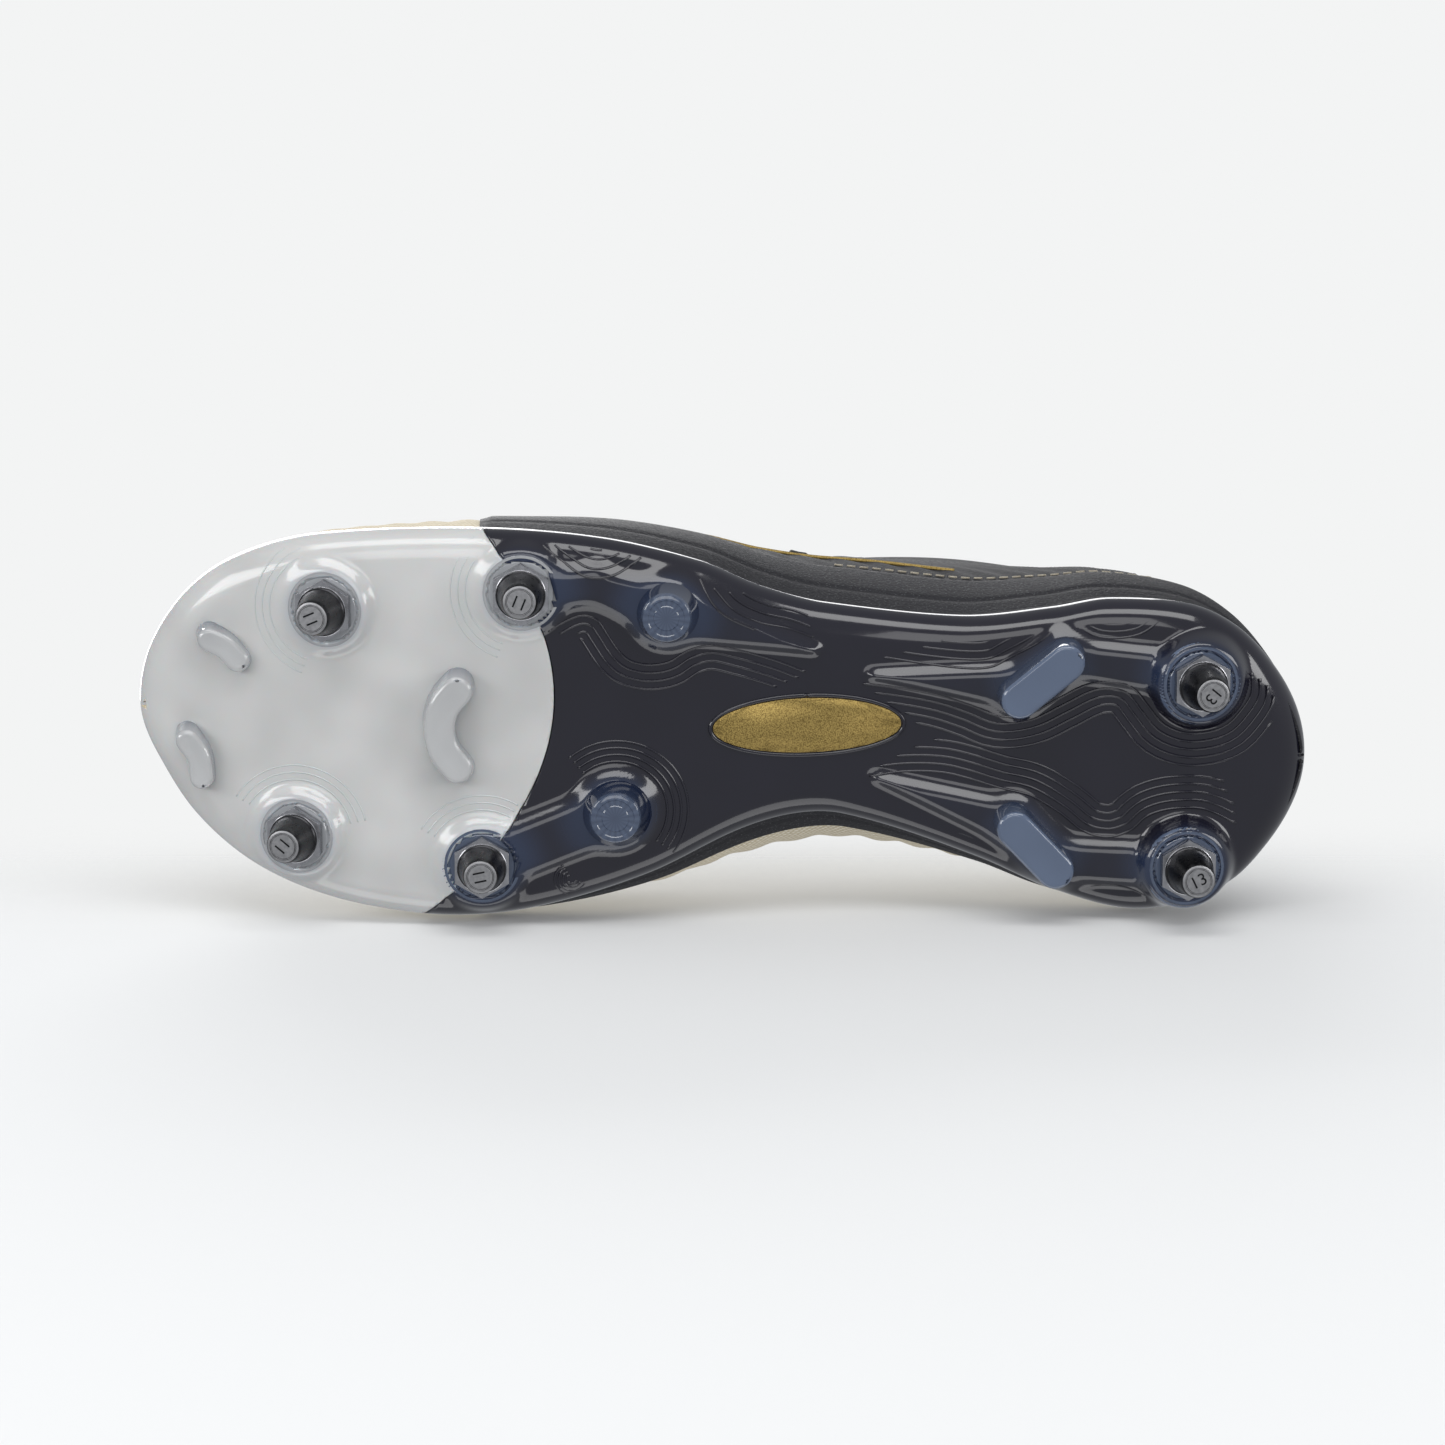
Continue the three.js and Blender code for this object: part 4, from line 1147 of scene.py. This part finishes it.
randHigh = {1: 0.24, -1: 0.085}
vampShape = {"thin": 0.35, "thinTo": -112, "calmTo": -100, "calmAbove": 32, "calming": 46}
upperParts = {
    "vamp": upperSheet(0, 0.385, 0, 1, 0, 90, 120),
    "quarter_lateral": upperSheet(0.3866, 0.76, 0, 1, 1, 130, 60),
    "quarter_medial": upperSheet(0.3866, 0.76, 0, 1, -1, 150, 64),
    "heel_panel": upperSheet(0.7616, 1, 0, 1, 0, 50, 130, heel=True),
    "rand_lateral": upperSheet(0.362, 0.985, 0, randHigh[1], 1, 180, 26),
    "rand_medial": upperSheet(0.362, 0.985, 0, randHigh[-1], -1, 180, 14),
    "eyestay_lateral": upperSheet(0.415, 0.585, 0.8, 0.998, 1, 60, 18),
    "eyestay_medial": upperSheet(0.415, 0.585, 0.8, 0.998, -1, 60, 18),
}


def knitRelief(along, up, side):  # ridges that run down the foot, as on a ribbed knit
    way = along * halfLength * 2.2
    ridges = abs(math.sin(math.pi * way / 7.2)) ** 1.5
    rows = 0.5 + 0.5 * math.sin(2 * math.pi * (up * 34))
    fadeOut = smoothStep(up, 0.1, 0.25) * (1 - smoothStep(up, 0.82, 0.96))
    fadeOut *= 0.4 + 0.6 * smoothStep(along, 0.25, 0.42)
    return clothThickness + (0.75 * ridges + 0.12 * rows) * fadeOut


def coveredRelief(along, up, side):  # a dark skin pressed over the cloth, with slanting ribs
    way = along * halfLength * 2.2 + up * 46
    ribs = abs(math.sin(math.pi * way / 6.4)) ** 2
    fadeOut = smoothStep(up, 0.22, 0.34) * (1 - smoothStep(up, 0.8, 0.95))
    return clothThickness + 0.5 * ribs * fadeOut


def heelRelief(along, up, side):
    cup = smoothStep(up, 0.1, 0.2) * (1 - smoothStep(up, 0.46, 0.56))
    return clothThickness + 0.7 * cup * smoothStep(along, 0.79, 0.84)


def randRelief(low, high):
    def offset(along, up, side):
        k = (up - low) / (high - low)
        rounded = smoothStep(1 - k, 0, 0.12)
        ends = smoothStep(along, 0.362, 0.37) * (1 - smoothStep(along, 0.975, 0.985))
        groove = 0.35 * math.exp(-(((k - 0.34) / 0.035) ** 2))
        return clothThickness + 0.15 + 1.15 * rounded * (0.35 + 0.65 * ends) - groove * ends
    return offset


def eyestayRelief(along, up, side):
    k = (up - 0.8) / 0.198
    ends = min(smoothStep(along, 0.415, 0.43), 1 - smoothStep(along, 0.57, 0.585))
    rounded = min(smoothStep(k, 0, 0.12), smoothStep(1 - k, 0, 0.1), ends)
    groove = 0.22 * math.exp(-(((k - 0.16) / 0.03) ** 2))
    return clothThickness + 0.2 + 1.1 * rounded - groove * rounded


def makeUpper():
    looks = {
        "vamp": (cream, "cream_textile", knitRelief),
        "quarter_lateral": (dark, "dark_textile", coveredRelief),
        "quarter_medial": (cream, "cream_textile", knitRelief),
        "heel_panel": (dark, "dark_textile", heelRelief),
        "rand_lateral": (rand, "charcoal_rand", randRelief(0, randHigh[1])),
        "rand_medial": (rand, "charcoal_rand", randRelief(0, randHigh[-1])),
        "eyestay_lateral": (rand, "charcoal_rand", eyestayRelief),
        "eyestay_medial": (rand, "charcoal_rand", eyestayRelief),
    }
    for name, (material, slotName, relief) in looks.items():
        p = upperParts[name]
        bm = upperGrid(p, p["rows"], p["columns"], relief)
        if name == "vamp":  # calm the cloth where its rows meet at the toe
            c = vampShape
            thin = [e for e in bm.edges if e.verts[0].co.y < c["thinTo"] * mm and not e.is_boundary]
            bmesh.ops.dissolve_degenerate(bm, dist=c["thin"] * mm, edges=thin)
            toe = [v for v in bm.verts
                   if v.co.y < c["calmTo"] * mm and v.co.z > c["calmAbove"] * mm and not v.is_boundary]
            for _ in range(c["calming"]):
                bmesh.ops.smooth_vert(bm, verts=toe, factor=0.5, use_axis_x=True, use_axis_y=True,
                                      use_axis_z=True)
        piece = shown(name + "_skin", bm, material, replaces=(name,), slot=slotName)
        moulded = "rand" in name or "eye" in name
        addModifier(piece, "SOLIDIFY", thickness=(0.7 if moulded else 1.5) * mm, offset=-1)


stitchShape = {"length": 2.1, "gap": 1.1, "radius": 0.26}


def stitches(name, route, material, slotName):  # route is in millimetres; each stitch is a short round bead
    runs = []
    pitch = stitchShape["length"] + stitchShape["gap"]
    ways = [0]
    for a, b in zip(route, route[1:]):
        ways.append(ways[-1] + (b - a).length)

    def at(distance):
        i = 0
        while i < len(ways) - 2 and ways[i + 1] < distance:
            i += 1
        share = (distance - ways[i]) / max(ways[i + 1] - ways[i], 1e-6)
        return route[i].lerp(route[i + 1], clamp(share, 0, 1))

    distance = 0.0
    while distance + stitchShape["length"] < ways[-1]:
        runs.append([at(distance + stitchShape["length"] * k) for k in (0, 0.5, 1)])
        distance += pitch
    bm = sweptTube(runs, stitchShape["radius"], 1)
    toMetres(bm)
    shown(name, bm, material, slot=slotName)


def upperRoute(side, start, end, offset, count=120):  # start and end are (along, up)
    shares = [i / count for i in range(count + 1)]
    return [upperPlace(side, mix(start[0], end[0], k), mix(start[1], end[1], k), offset) for k in shares]


def makeSeams():
    for side, word in ((1, "lateral"), (-1, "medial")):
        stitches("eyestay_stitches_" + word, upperRoute(side, (0.425, 0.785), (0.58, 0.785), 1.95),
                 thread, "cream_textile")
        stitches("heel_stitches_" + word, upperRoute(side, (0.77, 0.18), (0.77, 0.97), 1.8), thread,
                 "cream_textile")
    stitches("rand_stitches_lateral", upperRoute(1, (0.56, 0.27), (0.8, 0.275), 2.0), thread, "cream_textile")
    piping = sweptTube([upperRoute(1, (0.45, 0.42), (0.63, 0.36), 2.0)], 0.5)
    toMetres(piping)
    shown("quarter_piping_lateral", piping, gold, slot="gold_foil")


weltShape = {"radius": 1.75, "inset": 1.9, "rise": 7.2, "samples": 260}


def makeWelt():  # a bead on the plate's rim, which the upper sits against
    w = weltShape

    def edgeRoute(side):
        route = []
        for i in range(w["samples"] + 1):
            along = i / w["samples"]
            x, y = solePoint(along, side)[:2]
            middle = Vector(((lateralX(along) + medialX(along)) / 2, y * 0.8))
            inward = (middle - Vector((x, y))).normalized() * w["inset"]
            route.append(Vector((x + inward.x, y + inward.y, middleZ(y) + w["rise"])))
        return route

    around = edgeRoute(1) + edgeRoute(-1)[::-1][1:]
    behind = [p for p in around if p.y >= jointY(p.x)]
    split = next(i for i, p in enumerate(around) if p.y >= jointY(p.x))
    lastRear = max(i for i, p in enumerate(around) if p.y >= jointY(p.x))
    front = around[lastRear + 1 :] + around[1:split]
    for name, route, material, slotName in (("forefoot_welt", front, milky, "milky_plastic"),
                                            ("rear_welt", behind, rand, "charcoal_rand")):
        bm = sweptTube([route], w["radius"], 3)
        toMetres(bm)
        shown(name, bm, material, slot=slotName)


def makeLining():  # thin cloth inside the rear of the upper, over the heel counter
    p = {"from": 0.4, "to": 1, "low": 0.06, "high": 0.66, "side": 0, "heel": True}
    bm = upperGrid(p, 30, 160, lambda along, up, side: -2.3)
    bmesh.ops.reverse_faces(bm, faces=bm.faces)
    lined = shown("heel_lining", bm, lining, slot="dark_textile")
    addModifier(lined, "SOLIDIFY", thickness=0.25 * mm, offset=-1)


collarShape = {"from": 0.6, "to": 1, "low": 0.6, "high": 0.992, "side": 0, "heel": True,
               "outer": -0.5, "plump": 4.0, "rows": 28, "columns": 150}


def makeCollar():  # foam inside the collar, rounded over the top
    c = collarShape

    def crowned(along, up, side):
        k = (up - c["low"]) / (c["high"] - c["low"])
        ends = smoothStep(along, c["from"], c["from"] + 0.03)
        return c["outer"] - c["plump"] * math.sqrt(clamp(math.sin(math.pi * k), 0, 1)) * ends

    inner = upperGrid(c, c["rows"], c["columns"], crowned)
    outer = upperGrid(c, c["rows"], c["columns"], lambda along, up, side: c["outer"])
    bmesh.ops.reverse_faces(inner, faces=inner.faces)
    joined(outer, inner)
    bmesh.ops.remove_doubles(outer, verts=outer.verts, dist=0.02 * mm)
    collar = shown("collar_cushion", outer, lining, replaces=("collar_padding",), slot="dark_textile")
    binding = [upperRoute(side, (0.595, 1), (1, 1), -0.6, 90) for side in (1, -1)]
    route = binding[0] + binding[1][::-1][1:]
    tape = sweptTube([route], 1.35, 3)
    toMetres(tape)
    shown("collar_binding", tape, lining, slot="dark_textile")


tongueShape = {"from": 0.36, "outer": -1.5, "inner": -4.4, "body": 0.84, "tipLength": 9, "tipRise": 12,
               "edgeRise": 5, "flat": 0.55}


def makeTongue():
    t = tongueShape
    last = throatEnd - 0.004

    def place(across, ahead, depth):
        body = min(ahead / t["body"], 1)
        beyond = max(ahead - t["body"], 0) / (1 - t["body"])
        along = mix(t["from"], last, body)
        side = 1 if across >= 0 else -1
        reach = abs(across)
        if reach > t["flat"]:
            at = upperPlace(side, along, 1 - (reach - t["flat"]) / (1 - t["flat"]) * 0.2, depth)
        else:
            first, second = upperPlace(1, along, 1, depth), upperPlace(-1, along, 1, depth)
            at = second.lerp(first, 0.5 + across / (2 * t["flat"]))
            at.z += 0.1 * topHalfWidth(along) * (1 - (reach / t["flat"]) ** 2)
        rounded = beyond * (1 - 0.35 * reach**4)
        at.y += t["tipLength"] * rounded
        at.z += mix(t["tipRise"], t["edgeRise"], reach**1.5) * rounded
        at.x += (spine(along).x - at.x) * 0.25 * beyond
        return at

    layers = []
    for depth in (t["outer"], t["inner"]):
        bm = bmesh.new()
        uv = bm.loops.layers.uv.new("UVMap")
        bmesh.ops.create_grid(bm, x_segments=44, y_segments=80, size=1, calc_uvs=True)
        for face in bm.faces:
            for loop in face.loops:
                loop[uv].uv = (loop[uv].uv.x * 0.07, loop[uv].uv.y * 0.12)
        for vert in bm.verts:
            across, ahead = clamp(vert.co.x, -1, 1), clamp((vert.co.y + 1) / 2, 0, 1)
            border = min(1 - abs(across), ahead, 1 - ahead) * 9
            plump = math.sqrt(clamp(border, 0, 1))
            quilt = 0.35 * abs(math.sin(math.pi * ahead * 9)) * plump * (1 if depth == t["outer"] else 0)
            middle = (t["outer"] + t["inner"]) / 2
            vert.co = place(across, ahead, mix(middle, depth, plump) - 0.35 + quilt)
        layers.append(bm)
    bmesh.ops.reverse_faces(layers[1], faces=layers[1].faces)
    joined(layers[0], layers[1])
    bmesh.ops.remove_doubles(layers[0], verts=layers[0].verts, dist=0.03)
    faceOut(layers[0])
    toMetres(layers[0])
    tongue = shown("tongue_padded", layers[0], lining, replaces=("tongue",), slot="dark_textile")


laceShape = {"rows": 6, "start": vampEnd + 0.03, "end": throatEnd - 0.035,
             "offset": clothThickness + 2.9, "halfWidth": 2.4, "halfThickness": 0.55}


def throatMiddle(along):
    return (upperSkin(1, along, 1) + upperSkin(-1, along, 1)) / 2


def raised(point, rise):
    return point + Vector((0, 0, rise))


def flatBraid(name, routes, tilts, nodeName):  # a flat lace along each smooth route, in millimetres
    data = bpy.data.curves.new(name, "CURVE")
    data.dimensions = "3D"
    data.twist_mode = "Z_UP"
    data.extrude = laceShape["halfWidth"] - laceShape["halfThickness"]
    data.bevel_depth = laceShape["halfThickness"]
    data.bevel_resolution = 2
    data.use_fill_caps = True
    for route, tilt in zip(routes, tilts):
        places = smoothRoute(route, len(route) * 9)
        spline = data.splines.new("POLY")
        spline.points.add(len(places) - 1)
        for point, place in zip(spline.points, places):
            point.co = (*place, 1)
            point.tilt = tilt
    bm = meshOfCurve(name + "_path", data)
    bmesh.ops.remove_doubles(bm, verts=bm.verts, dist=0.005)
    faceOut(bm)
    toMetres(bm)
    return shown(name, bm, laceCloth, replaces=(nodeName,), slot="lace")


def makeLaces():
    l = laceShape
    route = []
    for row in range(l["rows"]):
        along = mix(l["start"], l["end"], row / (l["rows"] - 1))
        side = -1 if row % 2 else 1
        for s, kind in ((side, "turn"), (side, "edge"), (0, "middle"), (-side, "edge"), (-side, "turn")):
            if kind == "turn":
                route.append(upperPlace(s, along, 0.87, l["offset"]))
            elif kind == "edge":
                route.append(raised(upperPlace(s, along, 1, clothThickness + 1.4), 2.6))
            else:
                route.append(raised(throatMiddle(along), 4.4))
    flatBraid("lace_braid", [route], [math.radians(90)], "lace")
    knot = raised(throatMiddle(l["end"]), 10.2)
    routes = []
    for side in (1, -1):
        loop = ((0, -2, 0), (8, -6, 0.5), (15, -7, 0), (18, -1, -0.5), (15, 6, 0.5), (8, 5, 2), (0, 2, 1.4))
        tail = ((0, -1, 0), (7, -9, 0), (14, -16, -3), (20, -25, -8))
        routes.append([knot + Vector((x * side, y, z)) for x, y, z in loop])
        routes.append([knot + Vector((x * side, y, z)) for x, y, z in tail])
        stem = ((1.4, 0.5, 0.6), (2.2, 0.6, -2.4), (3.4, 0.4, -5.8))  # comes up from the last row
        routes.append([knot + Vector((x * side, y, z)) for x, y, z in stem])
    wrap = [knot + Vector((0.6 * math.sin(a), 3.2 * math.sin(a), 2.6 * math.cos(a)))
            for a in (2 * math.pi * i / 12 for i in range(14))]
    cross = [knot + Vector((3.4 * math.cos(a), 1.6 * math.sin(a), 2.2 * math.sin(a)))
             for a in (2 * math.pi * i / 12 for i in range(14))]
    flatBraid("lace_bow_braid", [*routes, wrap, cross], [math.radians(90)] * 8, "lace_bow")


def makeEyelets():
    ring = turned([(1.5, -0.5), (1.5, 0.25), (1.8, 0.5), (2.5, 0.45), (2.8, 0.1), (2.8, -0.5)], 28)
    source = bpy.data.meshes.new("eyelet_ring")
    ring.to_mesh(source)
    ring.free()
    for side, word in ((1, "lateral"), (-1, "medial")):
        bm = bmesh.new()
        for row in range(laceShape["rows"]):
            along = mix(laceShape["start"], laceShape["end"], row / (laceShape["rows"] - 1))
            before = len(bm.verts)
            bm.from_mesh(source)
            bm.verts.ensure_lookup_table()
            out = upperNormal(side, along, 0.89).normalized()
            place = Matrix.Translation(upperPlace(side, along, 0.89, clothThickness + 1.3))
            turn = Vector((0, 0, 1)).rotation_difference(out).to_matrix().to_4x4()
            bmesh.ops.transform(bm, matrix=place @ turn, verts=bm.verts[before:])
        faceOut(bm)
        toMetres(bm)
        eyelets = shown("eyelets_" + word, bm, gunmetal, replaces=("eyestay_" + word,), slot="gunmetal")
        smoothByAngle(eyelets, 40)
    bpy.data.meshes.remove(source)


def makeHeelTab():
    lower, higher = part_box("heel_tab")
    size = higher - lower
    bm = bmesh.new()
    bmesh.ops.create_grid(bm, x_segments=14, y_segments=26, size=0.5)
    for vert in bm.verts:
        corner = 1 - 0.3 * max(vert.co.y - 0.3, 0) / 0.2 * abs(vert.co.x * 2) ** 3
        x = vert.co.x * size.x * 0.98 * corner
        k = vert.co.y + 0.5
        bulge = 0.0011 * math.sin(math.pi * k) - 0.0004 * (abs(vert.co.x) > 0.42)
        vert.co = Vector((
            (lower.x + higher.x) / 2 + x,
            mix(lower.y, higher.y, 0.5 + (0.5 - k) * 0.15) + bulge * 0.6,
            mix(lower.z, higher.z, 0.02 + 0.96 * k),
        ))
    faceOut(bm)
    tab = shown("heel_tab_webbing", bm, webbing, replaces=("heel_tab",), slot="charcoal_rand")
    addModifier(tab, "SOLIDIFY", thickness=2.0 * mm, offset=0)
    addModifier(tab, "BEVEL", width=0.5 * mm, segments=2)


sockShape = {"from": 0.167, "to": 0.878, "inset": 8.2, "height": 9.2, "crown": 0.8, "thickness": 1.9}


def makeSockliner():
    s = sockShape
    bm = bmesh.new()
    uv = bm.loops.layers.uv.new("UVMap")
    bmesh.ops.create_grid(bm, x_segments=36, y_segments=110, size=1, calc_uvs=True)
    for face in bm.faces:
        for loop in face.loops:
            loop[uv].uv = (loop[uv].uv.x * 0.08, loop[uv].uv.y * 0.26)
    for vert in bm.verts:
        across, ahead = clamp(vert.co.x, -1, 1), clamp((vert.co.y + 1) / 2, 0, 1)
        along = mix(s["from"], s["to"], ahead)
        x = mix(medialX(along) + s["inset"], lateralX(along) - s["inset"], (across + 1) / 2)
        y = yAt(along)
        vert.co = Vector((x, y, undersideZ(x, y) + s["height"] + s["crown"] * (1 - across * across)))
    faceOut(bm)
    if sum(face.normal.z for face in bm.faces) < 0:
        bmesh.ops.reverse_faces(bm, faces=bm.faces)
    toMetres(bm)
    sock = shown("sockliner_footbed", bm, lining, replaces=("sockliner",), slot="dark_textile")
    addModifier(sock, "SOLIDIFY", thickness=s["thickness"] * mm, offset=-1)


makeUpper()
makeSeams()
makeWelt()
makeLining()
makeCollar()
makeTongue()
print("upper made")
makeLaces()
makeEyelets()
makeHeelTab()
makeSockliner()
hiddenFinishes = {"lasting_board": boardPaper, "midsole_pad": foam, "toe_puff": boardPaper,
                  "heel_counter": boardPaper}
for hiddenName, hiddenFinish in hiddenFinishes.items():
    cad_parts[hiddenName].data.materials.clear()
    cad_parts[hiddenName].data.materials.append(hiddenFinish)
print("laces, eyelets and lining made")
